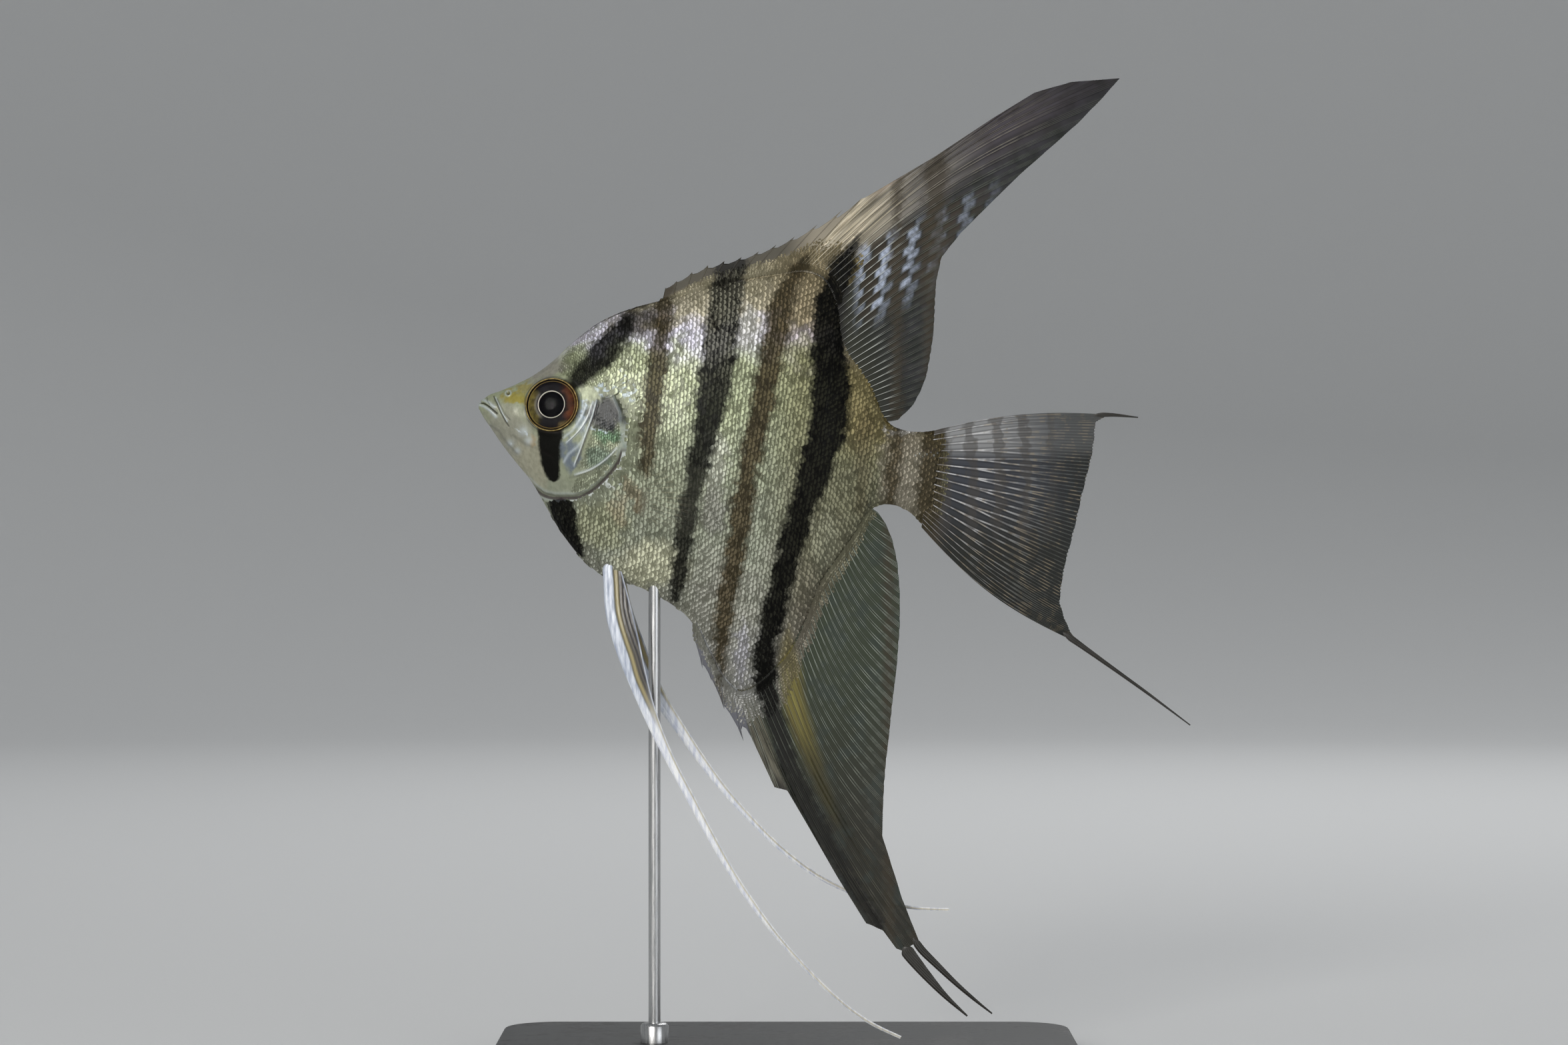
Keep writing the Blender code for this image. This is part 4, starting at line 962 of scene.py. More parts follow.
def streamer_section(front, rear, level, thick):
    lines = 0.5 + 0.5 * np.cos(2 * math.pi * front / 0.34)
    body = np.clip(np.minimum(front, rear) / 0.25, 0.15, 1) ** 0.5
    tint = np.stack([np.zeros_like(level), 0.25 * lines, lines * np.ones_like(level)], -1)
    return (thick / 2 - 0.06 + 0.06 * lines) * body, tint


def make_pelvic_fins(material):
    """The blades, from a root row inside the belly. ends are where the spine and the web end."""
    for side, root, rows, ends in (
        ("left", (-29.2, -0.9, 84.0, 2.6, 1.2), PELVIC_LEFT, (66, 58)),
        ("right", (-28.2, 0.9, 83.6, 1.8, 1.2), PELVIC_RIGHT, (58.5, 60)),
    ):
        ribbon(f"pelvic_blade_{side}", [root, *rows], pelvic_section(*ends), material,
               (f"pelvic_fin_{side}", f"pelvic_streamer_{side}"))


def make_streamers(material):
    for name, rows in STREAMERS.items():
        ribbon(name.replace("streamer", "thread"), rows, streamer_section, material, (name,))


# ------------------------------------------------------------------ eyes

IRIS_PROFILE = [  # distance from the eye's axis and height along it, out to the golden rim
    (0.0, 1.40), (0.5, 1.36), (1.0, 1.24), (1.5, 1.03), (1.85, 0.83), (2.04, 0.70), (2.1, 0.74),
    (2.18, 0.84), (2.3, 0.90), (2.5, 0.92), (2.9, 0.90), (3.3, 0.82), (3.7, 0.66), (3.92, 0.50),
    (4.02, 0.36), (4.08, 0.34), (4.13, 0.42), (4.18, 0.57), (4.26, 0.66), (4.34, 0.67), (4.42, 0.60),
    (4.48, 0.44), (4.49, 0.2), (4.42, -0.15), (4.2, -0.7), (3.4, -1.2), (2.0, -1.6), (0.6, -1.75),
]
CORNEA_PROFILE = [
    (0.0, 2.02), (0.7, 1.99), (1.4, 1.90), (2.1, 1.74), (2.8, 1.47), (3.3, 1.20), (3.7, 0.92),
    (3.95, 0.70), (4.07, 0.54), (4.10, 0.46), (4.02, 0.52), (3.8, 0.70), (3.4, 0.86), (2.6, 1.04),
    (1.5, 1.52), (0.6, 1.64),
]
RIM_RADIUS = 4.32
EYE_TURNS = 96


def turned(profile, turns):
    """Rings of points where a profile of (radius, height) is turned about an upright axis."""
    profile = np.array(profile, float)
    angles = 2 * math.pi * np.arange(turns) / turns
    across, up = profile[:, 0:1] * np.cos(angles), profile[:, 0:1] * np.sin(angles)
    return np.stack(np.broadcast_arrays(across, up, profile[:, 1:2]), -1)


def eye_part(name, profile, side, material, replaced):
    """A profile turned about the eye's axis, smooth, with its place on the eye's face stored."""
    centre, out, across, up = eye_axes(side)
    fine = smooth_rows(profile, np.linspace(0, len(profile) - 1, (len(profile) - 1) * 4 + 1))
    fine[0, 0], fine[-1, 0] = 0.02, 0.02
    face = turned(fine, EYE_TURNS)
    points = centre + face[..., 0:1] * across + face[..., 1:2] * up + face[..., 2:3] * out
    piece = ring_piece(name, points, material, replaced, order=side, mapped=False)
    store(piece, "face", face)


def make_eyes(iris, cornea):
    for name, side in (("left", -1), ("right", 1)):
        eye_part(f"iris_{name}", IRIS_PROFILE, side, iris, (f"eye_{name}",))
        eye_part(f"cornea_{name}", CORNEA_PROFILE, side, cornea, ())


# ------------------------------------------------------------------ shader tools


class Wire:
    """A value in a shader, which adds and multiplies as numbers do."""

    def __init__(self, socket):
        self.socket, self.tree = socket, socket.id_data

    def __add__(self, other):
        return calc("ADD", self, other)

    def __radd__(self, other):
        return calc("ADD", other, self)

    def __sub__(self, other):
        return calc("SUBTRACT", self, other)

    def __rsub__(self, other):
        return calc("SUBTRACT", other, self)

    def __mul__(self, other):
        return calc("MULTIPLY", self, other)

    def __truediv__(self, other):
        return calc("DIVIDE", self, other)

    def __abs__(self):
        return calc("ABSOLUTE", self)


def connect(socket, value):
    if isinstance(value, Wire):
        value.tree.links.new(value.socket, socket)
    elif socket.type == "RGBA" and len(value) == 3:
        socket.default_value = (*value, 1.0)
    else:
        socket.default_value = value


def set_inputs(node, **values):
    for name, value in values.items():
        connect(node.inputs[name.replace("_", " ")], value)


def add_node(kind, inputs, tree=None, **settings):
    """A shader node with its inputs set, in the same tree as the wires that it takes."""
    tree = tree or next(value.tree for value in inputs.values() if isinstance(value, Wire))
    node = tree.nodes.new(f"ShaderNode{kind}")
    for name, value in settings.items():
        setattr(node, name, value)
    for name, value in inputs.items():
        connect(node.inputs[name], value)
    return node


def calc(operation, *values):
    return Wire(add_node("Math", dict(enumerate(values)), operation=operation).outputs[0])


def smooth_step(value, low, high, start=0.0, end=1.0):
    """From start to end, smoothly, as the value goes from low to high."""
    inputs = {"Value": value, "From Min": low, "From Max": high, "To Min": start, "To Max": end}
    return Wire(add_node("MapRange", inputs, interpolation_type="SMOOTHSTEP").outputs["Result"])


def blend(share, first, second, kind="MIX"):
    inputs = {"Factor": share, 6: first, 7: second}
    return Wire(add_node("Mix", inputs, data_type="RGBA", blend_type=kind).outputs[2])


def fade(value, low, high, first, second):
    """From the first colour to the second as the value goes from low to high."""
    return blend(smooth_step(value, low, high), first, second)


def tinted(colour, tint):
    return blend(1.0, colour, tint, "MULTIPLY")


def cloud(place, scale, detail=2.0, roughness=0.5, stretch=None):
    """Noise of about 0 to 1 at a place in millimetres, scale being spots to the millimetre."""
    if stretch:
        place = Wire(add_node("Mapping", {"Vector": place, "Scale": stretch}).outputs[0])
    inputs = {"Vector": place, "Scale": scale, "Detail": detail, "Roughness": roughness}
    return smooth_step(Wire(add_node("TexNoise", inputs).outputs[0]), 0.28, 0.72)


def parts_of(vector):
    return [Wire(part) for part in add_node("SeparateXYZ", {0: vector}).outputs]


def stored(tree, name):
    return Wire(add_node("Attribute", {}, tree, attribute_name=name).outputs["Vector"])


def place_in_mm(tree):
    here = Wire(add_node("TexCoord", {}, tree).outputs["Object"])
    return Wire(add_node("VectorMath", {0: here, "Scale": 1 / MM}, operation="SCALE").outputs[0])


def follow(height, points, column):
    """The value on a smooth curve through the points, as a shader number."""
    low, high = BAR_HEIGHTS
    least, most = BAR_PLACES
    node = add_node("FloatCurve", {"Value": (height - low) / (high - low)})
    curve = node.mapping.curves[0]
    rows = [(row[0], row[column]) for row in points]
    rows = [(low, rows[0][1]), *rows, (high, rows[-1][1])]
    while len(curve.points) < len(rows):
        curve.points.new(0.5, 0.5)
    for point, (z, value) in zip(curve.points, rows):
        point.location = ((z - low) / (high - low), (value - least) / (most - least))
        point.handle_type = "AUTO_CLAMPED"
    node.mapping.update()
    return Wire(node.outputs[0]) * (most - least) + least


def height_ramp(height, stops):
    """A colour that changes with height, the stops being (z, colour of 0 to 255)."""
    low, high = RAMP_HEIGHTS
    node = add_node("ValToRGB", {0: (height - low) / (high - low)})
    ramp = node.color_ramp
    while len(ramp.elements) < len(stops):
        ramp.elements.new(0.5)
    for element, (z, colour) in zip(ramp.elements, stops):
        element.position = (z - low) / (high - low)
        element.color = (*rgb(*colour), 1.0)
    return Wire(node.outputs[0])


def new_group(name, inputs, outputs):
    """A shader group, the wires that it is given, and the node that takes its results."""
    group = bpy.data.node_groups.new(name, "ShaderNodeTree")
    for in_out, sockets in (("INPUT", inputs), ("OUTPUT", outputs)):
        for socket, kind in sockets.items():
            group.interface.new_socket(socket, in_out=in_out, socket_type=f"NodeSocket{kind}")
    given = group.nodes.new("NodeGroupInput").outputs
    return group, {name: Wire(given[name]) for name in inputs}, group.nodes.new("NodeGroupOutput")


def use_group(group, **values):
    inputs = {name.capitalize(): value for name, value in values.items()}
    tree = next(value.tree for value in values.values() if isinstance(value, Wire))
    node = tree.nodes.new("ShaderNodeGroup")
    node.node_tree = group
    set_inputs(node, **inputs)
    return {socket.name: Wire(socket) for socket in node.outputs}


def new_material(name):
    material = bpy.data.materials.new(name)
    material.use_nodes = True
    tree = material.node_tree
    return material, tree, tree.nodes["Principled BSDF"]


def add_bump(shader, height, strength, depth):
    """Fine relief, its depth in millimetres."""
    node = add_node("Bump", {"Height": height, "Strength": strength, "Distance": depth * MM})
    connect(shader.inputs["Normal"], Wire(node.outputs[0]))


# ------------------------------------------------------------------ markings


def bar_mask(x, z, bar):
    points, soft, strength = bar
    away = abs(x - follow(z, points, 1))
    half = follow(z, points, 2)
    mask = smooth_step(half - away, -soft, soft)
    return mask * strength


def most_of(masks):
    total = masks[0]
    for mask in masks[1:]:
        total = calc("MAXIMUM", total, mask)
    return total


def bars_group():
    """Where the black and the brown bars run over the body and on into the fins."""
    group, given, result = new_group(
        "angelfish bars", {"Place": "Vector"}, {"Black": "Float", "Brown": "Float"},
    )
    x, _, z = parts_of(given["Place"])
    wander = cloud(given["Place"], 0.45, 3.0, 0.65) - 0.5
    grain = cloud(given["Place"], 2.2) - 0.5
    ragged = smooth_step(x, -37.0, -26.0, 0.25, 1.0)
    wander = wander * 1.1 + grain * 0.5
    x = x + wander * ragged
    black = most_of([bar_mask(x, z, bar) for bar in BLACK_BARS.values()])
    brown = most_of([bar_mask(x, z, bar) for bar in BROWN_BARS.values()])
    set_inputs(result, Black=black, Brown=brown)
    return group


def line_mask(off, slope, aside, half, soft=0.07):
    """1 on a line that lies aside from a curve, where off is how far the place is from the curve."""
    away = abs(off * slope - aside)
    return smooth_step(away, half + soft, half - soft)


def line_over(x, points, level):
    """The height over a level at x, on a smooth curve through points (x, z)."""
    return follow(x - LINE_START, [(px - LINE_START, pz - level) for px, pz in points], 1)


def head_lines_group():
    """The fine lines of the gill cover: painted shade under its edge, below its fold and beside the cheek
    lines, and painted highlights along a line below its edge, along the fold and on the cheek lines.
    """
    group, given, result = new_group("head lines", {"Place": "Vector"}, {"Dark": "Float", "Gleam": "Float"})
    x, _, z = parts_of(given["Place"])
    edge = z - line_over(x, GILL_LOW, LINE_LEVEL) - LINE_LEVEL
    slope = line_over(x, GILL_SLOPES, 0)
    low = smooth_step(z, 102.5, 101.0)
    dark = line_mask(edge, slope, -0.26, 0.24, 0.12) * low
    bright = line_mask(edge, slope, -0.62, 0.11) * low
    bright = bright * smooth_step(x, -36.5, -34.5)
    fold = z - line_over(x, GILL_FOLD, LINE_LEVEL) - LINE_LEVEL
    along = smooth_step(x, -34.9, -34.0) * smooth_step(x, -27.6, -28.4)
    bright = calc("MAXIMUM", bright, line_mask(fold, 0.85, 0.0, 0.1) * along)
    below = line_mask(fold, 0.85, -0.32, 0.12, 0.12) * along
    dark = calc("MAXIMUM", dark, below * 0.5)
    for points, reach in (CHEEK_LINES["rear"], CHEEK_LINES["front"]):
        off = x - follow(z, points, 1)
        along = smooth_step(z, reach[0], reach[0] + 0.8) * smooth_step(z, reach[1], reach[1] - 0.8)
        bright = calc("MAXIMUM", bright, line_mask(off, 0.93, 0.0, 0.07) * along)
        beside = line_mask(off, 0.93, 0.24, 0.08) * along
        dark = calc("MAXIMUM", dark, beside * 0.7)
    set_inputs(result, Dark=dark, Gleam=bright)
    return group


def spot(x, z, centre, reach):
    """1 in the middle of a soft patch and 0 outside it."""
    across = (x - centre[0]) / reach[0]
    up = (z - centre[1]) / reach[1]
    away = across * across + up * up
    return smooth_step(away, 1.1, 0.15)


def colour_group(bars):
    """The skin's two colours, the ground between flecks and the flecks, with painted glints and the bars on
    them.
    """
    group, given, result = new_group(
        "angelfish colours", {"Place": "Vector"}, {"Ground": "Color", "Fleck": "Color", "Dark": "Float"},
    )
    place = given["Place"]
    x, _, z = parts_of(place)
    masks = use_group(bars, place=place)
    uneven = (cloud(place, 0.2, 3.0) - 0.5) * 6.0
    pale = height_ramp(z + uneven, PALE_HEIGHTS)
    rear = smooth_step(x, -6.5, 3.0)
    pale = blend(rear, pale, tinted(pale, rgb(208, 200, 188)))
    olive = smooth_step(x, 7.0, 11.0) * smooth_step(z, 98.0, 106.0)
    pale = blend(olive * 0.75, pale, rgb(124, 112, 78))
    wander = (cloud(place, 0.55, 3.0) - 0.5) * 1.6
    shifted_x, shifted_z = x + wander, z - wander
    edging = bar_mask(x, z, (FLESH_EDGING, 0.5, 0.5))
    pale = blend(edging, pale, rgb(118, 102, 56))
    pale = blend(bar_mask(x, z, (YELLOW_BAND, 0.9, 0.6)), pale, rgb(116, 106, 62))
    for px, pz, along, up, colour, strength in PATCHES:
        mask = spot(shifted_x, shifted_z, (px, pz), (along, up))
        pale = blend(mask * strength, pale, rgb(*colour))
    fleck = tinted(pale, (1.7, 1.7, 1.7))
    ground = tinted(pale, (0.5, 0.5, 0.46))
    shine = cloud(place, 1.5)
    # Painted glints: pale bluish colour over the flecks and the ground
    for px, pz, along, up, blue in GLINTS:
        mask = spot(shifted_x, shifted_z, (px, pz), (along, up))
        mask = mask * smooth_step(shine, 0.25, 0.75, 0.0, 0.7)
        colour = tuple(a + (b - a) * blue for a, b in zip(rgb(236, 238, 232), rgb(176, 198, 224)))
        fleck = blend(mask, fleck, colour)
        ground = blend(mask * 0.7, ground, colour)
    brown = masks["Brown"]
    ground = blend(brown, ground, rgb(50, 45, 32))
    fleck = blend(brown * 0.92, fleck, rgb(85, 73, 50))
    black = masks["Black"]
    ground = blend(black, ground, rgb(9, 9, 8))
    # The flecks on the black bars are paler towards the top of the flank, between about x -24 and 2
    paler_above = smooth_step(z, 108.0, 121.0) * smooth_step(x, 2.0, -6.0)
    paler_above = paler_above * smooth_step(x, -24.0, -20.0)
    bar_fleck = blend(paler_above, rgb(27, 27, 21), rgb(112, 111, 98))
    fleck = blend(black * 0.98, fleck, bar_fleck)
    set_inputs(result, Ground=ground, Fleck=fleck, Dark=most_of([black, brown]))
    return group


def rays_group():
    """1 on a fin ray and 0 between, with the same branching as the fins' own ridges, and where shade is
    painted along each side of a ray.
    """
    group, given, result = new_group(
        "fin rays", dict.fromkeys(("Phase", "Run", "First", "Second", "Apart", "Width"), "Float"),
        {"Ray": "Float", "Edge": "Float"},
    )
    run = given["Run"]
    off = abs(calc("FRACT", given["Phase"]) - 0.5)
    for name, share, length in (("First", 1.0, 0.4), ("Second", 0.5, 0.35)):
        start = given[name]
        spread = given["Apart"] * share
        grown = smooth_step(run, start, start + length, 0.0, spread)
        off = abs(off - grown)
    width = given["Width"] * smooth_step(run, given["First"], 1.0, 1.0, 0.5)
    shade = smooth_step(abs(off - width * 1.6), width, 0.0)
    set_inputs(result, Ray=smooth_step(off, width, 0.0), Edge=shade)
    return group


def fibres_group():
    """Streaks of 0 to 1 that follow a fin's rays."""
    group, given, result = new_group(
        "ray fibres", dict.fromkeys(("Run", "Across", "Fine", "Long"), "Float"), {"Streak": "Float"},
    )
    node = add_node("CombineXYZ", {0: given["Across"] * given["Fine"], 1: given["Run"] * given["Long"]})
    set_inputs(result, Streak=cloud(Wire(node.outputs[0]), 1.0, 3.0, 0.6))
    return group


# ------------------------------------------------------------------ finishes


GROWTH_RINGS, RAY_JOINTS = 46.0, 260.0  # waves along a scale and a ray, in radians


def skin_material(colours, lines):
    material, tree, shader = new_material("angelfish skin")
    place = place_in_mm(tree)
    given = use_group(colours, place=place)
    painted_shade, painted_highlight, _ = parts_of(stored(tree, "marks"))
    grain = cloud(place, 1.6, 3.0, 0.6, stretch=(1.0, 1.0, 0.6))
    pale = 1.0 - given["Dark"]
    uneven = smooth_step(parts_of(place)[0], -36.0, -30.0, 0.2, 0.37)
    share = (grain - 0.5) * uneven + 0.435
    share = share * smooth_step(pale, 0.0, 1.0, 0.3, 1.0)
    colour = blend(share, given["Ground"], given["Fleck"])
    shown = 1.0 - given["Dark"] * 0.7
    # Painted highlight on the head's ridges, plates and rims, weaker over the bars
    colour = blend(painted_highlight * shown * 0.62, colour, rgb(196, 206, 212))
    drawn = use_group(lines, place=place)
    # Painted shade in the head's grooves, the nostril, the fold round the eye and under the gill cover's
    # edge
    colour = blend(painted_shade * 0.88, colour, rgb(30, 25, 23))
    # Painted shade and painted highlights along the gill cover's fine lines
    colour = blend(drawn["Dark"] * 0.8, colour, rgb(60, 49, 53))
    colour = blend(drawn["Gleam"] * shown * 0.72, colour, rgb(214, 220, 218))
    set_inputs(shader, Base_Color=colour, Metallic=pale * 0.18,
               Roughness=smooth_step(grain, 0.0, 1.0, 0.5, 0.36), Specular_IOR_Level=0.06,
               Coat_Weight=pale * 0.3, Coat_Roughness=0.15)
    add_bump(shader, cloud(place, 3.6), 0.16, 0.06)
    return material


def scale_material(colours):
    material, tree, shader = new_material("angelfish scales")
    place = place_in_mm(tree)
    root = stored(tree, "root")
    given = use_group(colours, place=blend(0.6, root, place))
    along, across, chance = parts_of(stored(tree, "scale"))
    spread = abs(across)
    centre = abs(along - 0.8)
    lobe = smooth_step(centre, 0.17, 0.05) * smooth_step(spread, 1.0, 0.6)
    fine = cloud(place, 1.5, 3.0, 0.65, stretch=(2.2, 1.0, 0.6))
    broad = cloud(place, 0.35)
    chosen = chance * 0.45 + fine * 0.62
    chosen = chosen + (broad - 0.5) * 0.3
    fleck = smooth_step(lobe, 0.0, 1.0, 0.2, 1.0) * smooth_step(chosen, 0.15, 0.75)
    colour = blend(fleck, given["Ground"], tinted(given["Fleck"], (1.12, 1.12, 1.12)))
    rim = smooth_step(along, 0.9, 1.0)
    colour = blend(rim * 0.35, colour, tinted(colour, (0.4, 0.4, 0.36)))
    pale = 1.0 - given["Dark"]
    set_inputs(shader, Base_Color=colour, Metallic=(0.1 + fleck * 0.25) * pale,
               Roughness=smooth_step(chance, 0.0, 1.0, 0.28, 0.46), Specular_IOR_Level=0.06,
               Coat_Weight=pale * 0.25, Coat_Roughness=0.12)
    add_bump(shader, calc("SINE", along * GROWTH_RINGS), 0.1, 0.04)
    return material


def ray_lines(rays, kind, phase, run):
    first, second, apart = FIN_SPLITS[kind]
    return use_group(rays, phase=phase, run=run, first=first, second=second, apart=apart,
                     width=RAY_WIDTHS[kind])


class FinPaint:
    """A fin's material in the making, and where each place lies on the fin."""

    def __init__(self, name, kind, bars, rays):
        self.material, tree, self.shader = new_material(name)
        self.place = place_in_mm(tree)
        self.x, _, self.z = parts_of(self.place)
        self.phase, self.run, self.across = parts_of(stored(tree, "ray"))
        self.masks = use_group(bars, place=self.place)
        self.lines = ray_lines(rays, kind, self.phase, self.run)

    def streaks(self, fibres, fine, long):
        return use_group(fibres, run=self.run, across=self.across, fine=fine, long=long)["Streak"]

    def colour(self, web, pale):
        """The web under its bars, with painted shade beside each ray and pale rays over it."""
        masks, lines = self.masks, self.lines
        web = blend(masks["Brown"] * 0.85, web, rgb(58, 50, 36))
        web = blend(masks["Black"] * 0.95, web, rgb(20, 19, 16))
        # Painted shade beside each raised ray
        colour = blend(lines["Edge"] * 0.75, web, tinted(web, (0.45, 0.45, 0.45)))
        pale = blend(masks["Black"] * 0.72, pale, rgb(44, 42, 34))
        patchy = smooth_step(cloud(self.place, 0.5), 0.1, 0.8, 0.45, 1.0)
        return blend(lines["Ray"] * patchy, colour, pale)

    def finished(self, colour, opacity):
        ray = self.lines["Ray"]
        see = most_of([opacity, ray * 0.95, self.masks["Black"]])
        set_inputs(self.shader, Base_Color=colour, Alpha=see, Specular_IOR_Level=0.25,
                   Roughness=smooth_step(ray, 0.0, 1.0, 0.42, 0.32))
        joints = calc("SINE", self.run * RAY_JOINTS)
        add_bump(self.shader, joints * (ray * 0.3) + ray, 0.3, 0.05)
        return self.material


def chance_of(value):
    """A random number from 0 to 1 for each whole number."""
    return Wire(add_node("TexWhiteNoise", {"W": value}, noise_dimensions="1D").outputs["Value"])


def checkers(fin, colour):
    """Columns of bluish and brown blocks over the rear of the dorsal fin, one block to a web."""
    x, z = fin.x, fin.z
    lot = chance_of(calc("FLOOR", fin.phase + 0.5))
    raised = z - x * 0.5
    inside = smooth_step(raised, 130.0, 128.0) * smooth_step(raised, 114.0, 119.0)
    inside = inside * smooth_step(x, 10.5, 13.0) * smooth_step(x, 38.0, 27.0)
    lean = (z - 135.0) * 0.15
    step = x - lean + (lot - 0.5) * 1.5
    wave = calc("COSINE", (step - 16.8) * (2 * math.pi / 4.1))
    colour = blend(inside * smooth_step(wave, 0.1, -0.5, 0.0, 0.75), colour, rgb(52, 43, 32))
    pale = smooth_step(wave, -0.1, 0.8) * smooth_step(lot, 0.0, 0.6, 0.45, 0.95)
    fibres = smooth_step(cloud(fin.place, 1.6, 3.0), 0.1, 0.8, 0.55, 1.0)
    share = inside * pale * fibres * smooth_step(x, 27.0, 16.0, 0.4, 1.0)
    return blend(share, colour, rgb(178, 188, 208))


def spines_material(name, bars, rays, flesh_colour, web_colour, spine_colour):
    """Short spines, scaly at the root, with a thin dark web between them."""
    fin = FinPaint(name, "spines", bars, rays)
    mottle = cloud(fin.place, 1.3, 3.0)
    base = blend(mottle, tuple(0.6 * part for part in flesh_colour), flesh_colour)
    web = fade(fin.x, -1.0, 5.5, web_colour, rgb(150, 142, 126))
    web = fade(fin.run, 0.25, 0.6, base, web)
    pale = fade(fin.run, 0.2, 0.6, flesh_colour, spine_colour)
    return fin.finished(fin.colour(web, pale), smooth_step(fin.run, 0.5, 1.0, 1.0, 0.9))


def dorsal_material(bars, rays, fibres):
    """Tan in front, black at the tip, and dark behind the bar with blocks of two colours."""
    fin = FinPaint("dorsal fin", "dorsal", bars, rays)
    x, z, run = fin.x, fin.z, fin.run
    behind_bars = smooth_step(x * 0.62 - z, -130.5, -125.5)
    streaks = fin.streaks(fibres, 90.0, 3.0)
    front = blend(streaks, rgb(132, 125, 105), rgb(220, 211, 187))
    front = fade(x, 9.0, 23.0, front, rgb(98, 96, 90))
    front = fade(x, 24.0, 35.0, front, rgb(54, 50, 52))
    front = fade(x, 38.0, 52.0, front, rgb(22, 20, 20))
    streaks = fin.streaks(fibres, 30.0, 1.2)
    front = blend(streaks, tinted(front, (0.35, 0.35, 0.35)), tinted(front, (1.8, 1.76, 1.8)))
    rear = fade(run, 0.0, 0.5, rgb(46, 47, 38), rgb(26, 29, 25))
    web = blend(behind_bars, front, rear)
    lilac = cloud(fin.place, 0.3, 3.0) * smooth_step(x, 12.0, 26.0, 0.0, 0.3)
    web = checkers(fin, blend(lilac, web, rgb(80, 76, 88)))
    edge = smooth_step(fin.across, 0.062, 0.04) * smooth_step(x, 12.0, 20.0) * smooth_step(x, 42.0, 30.0)
    web = blend(edge * 0.8, web, rgb(206, 184, 164))
    front = fade(x, 4.0, 28.0, rgb(214, 201, 168), rgb(132, 126, 116))
    front = fade(x, 28.0, 50.0, front, rgb(43, 40, 40))
    rear = fade(run, 0.12, 0.6, rgb(206, 208, 202), rgb(84, 88, 80))
    clear = smooth_step(z, 130.0, 122.0) * smooth_step(run, 0.15, 0.8)
    colour = fin.colour(web, blend(behind_bars, front, rear))
    return fin.finished(colour, smooth_step(clear, 0.0, 1.0, 0.98, 0.86))


def anal_material(bars, rays, fibres):
    """Dark olive, with a golden band and a grey strip along the front."""
    fin = FinPaint("anal fin", "anal", bars, rays)
    x, z = fin.x, fin.z
    web = fade(z, 70.0, 35.0, rgb(56, 63, 49), rgb(43, 42, 34))
    web = blend(smooth_step(cloud(fin.place, 0.3), 0.45, 0.9, 0.0, 0.5), web, rgb(52, 61, 58))
    streaks = fin.streaks(fibres, 120.0, 3.0)
    grey = blend(streaks, rgb(50, 47, 40), rgb(116, 113, 98))
    grey = fade(z, 49.0, 44.0, grey, rgb(36, 33, 31))
    web = fade(follow(z, BLACK_BARS["fourth"][0], 1) - x, 1.3, 2.4, web, grey)
    gold = blend(streaks, rgb(84, 72, 36), rgb(146, 138, 76))
    gold = fade(z, 60.0, 46.0, gold, rgb(68, 64, 44))
    web = blend(bar_mask(x, z, (YELLOW_BAND, 1.0, 0.85)), web, gold)
    pale = fade(z, 62.0, 34.0, rgb(152, 159, 148), rgb(94, 91, 79))
    pale = blend(bar_mask(x, z, (YELLOW_BAND, 1.0, 0.75)), pale, rgb(92, 82, 46))
    return fin.finished(fin.colour(web, pale), smooth_step(fin.run, 0.3, 1.0, 0.98, 0.88))


def tail_material(bars, rays):
    """Pale above and dark below, with faint bands that follow the fin's edge."""
    fin = FinPaint("tail fin", "tail", bars, rays)
    x, z = fin.x, fin.z
    web = fade(z, 98.0, 84.0, rgb(58, 61, 68), rgb(34, 35, 31))
    web = fade(x, 40.0, 50.0, web, rgb(28, 31, 29))
    upper = smooth_step(z, 99.5, 103.0) * smooth_step(x, 46.0, 32.0, 0.35, 1.0)
    web = blend(upper, web, rgb(138, 139, 140))
    pale = fade(x, 28.0, 46.0, rgb(214, 213, 214), rgb(84, 87, 86))
    pale = blend(smooth_step(z, 95.0, 82.0, 0.0, 0.7), pale, rgb(62, 64, 56))
    tan = smooth_step(cloud(fin.place, 0.6), 0.45, 0.8, 0.0, 0.6)
    colour = fin.colour(web, blend(tan, pale, rgb(150, 136, 112)))
    arc = x + abs(z - 97.0) * 0.08 + (cloud(fin.place, 0.5) - 0.5) * 1.2
    wave = calc("SINE", (arc - 29.7) * (2 * math.pi / 4.5))
    bands = smooth_step(wave, 0.1, 0.8) * (smooth_step(z, 84.0, 92.0) * smooth_step(x, 46.0, 42.0))
    colour = blend(bands * 0.55, colour, rgb(66, 62, 58))
    return fin.finished(colour, smooth_step(fin.run, 0.1, 0.9, 1.0, 0.85))


def pectoral_material(rays):
    """A web that is nearly clear, tan at its root, with pale yellowish rays."""
    material, tree, shader = new_material("pectoral fin")
    phase, run, _ = parts_of(stored(tree, "ray"))
    line = ray_lines(rays, "pectoral", phase, run)["Ray"]
    web = fade(run, 0.08, 0.26, rgb(112, 94, 66), rgb(150, 150, 134))
    ray_colour = fade(run, 0.1, 0.3, rgb(126, 104, 74), rgb(176, 168, 128))
    see = smooth_step(run, 0.06, 0.24, 0.42, 0.02)
    see = calc("MAXIMUM", see, line * smooth_step(run, 0.25, 0.8, 0.36, 0.03))
    set_inputs(shader, Base_Color=blend(line, web, ray_colour), Alpha=see, Roughness=0.35)
    return material


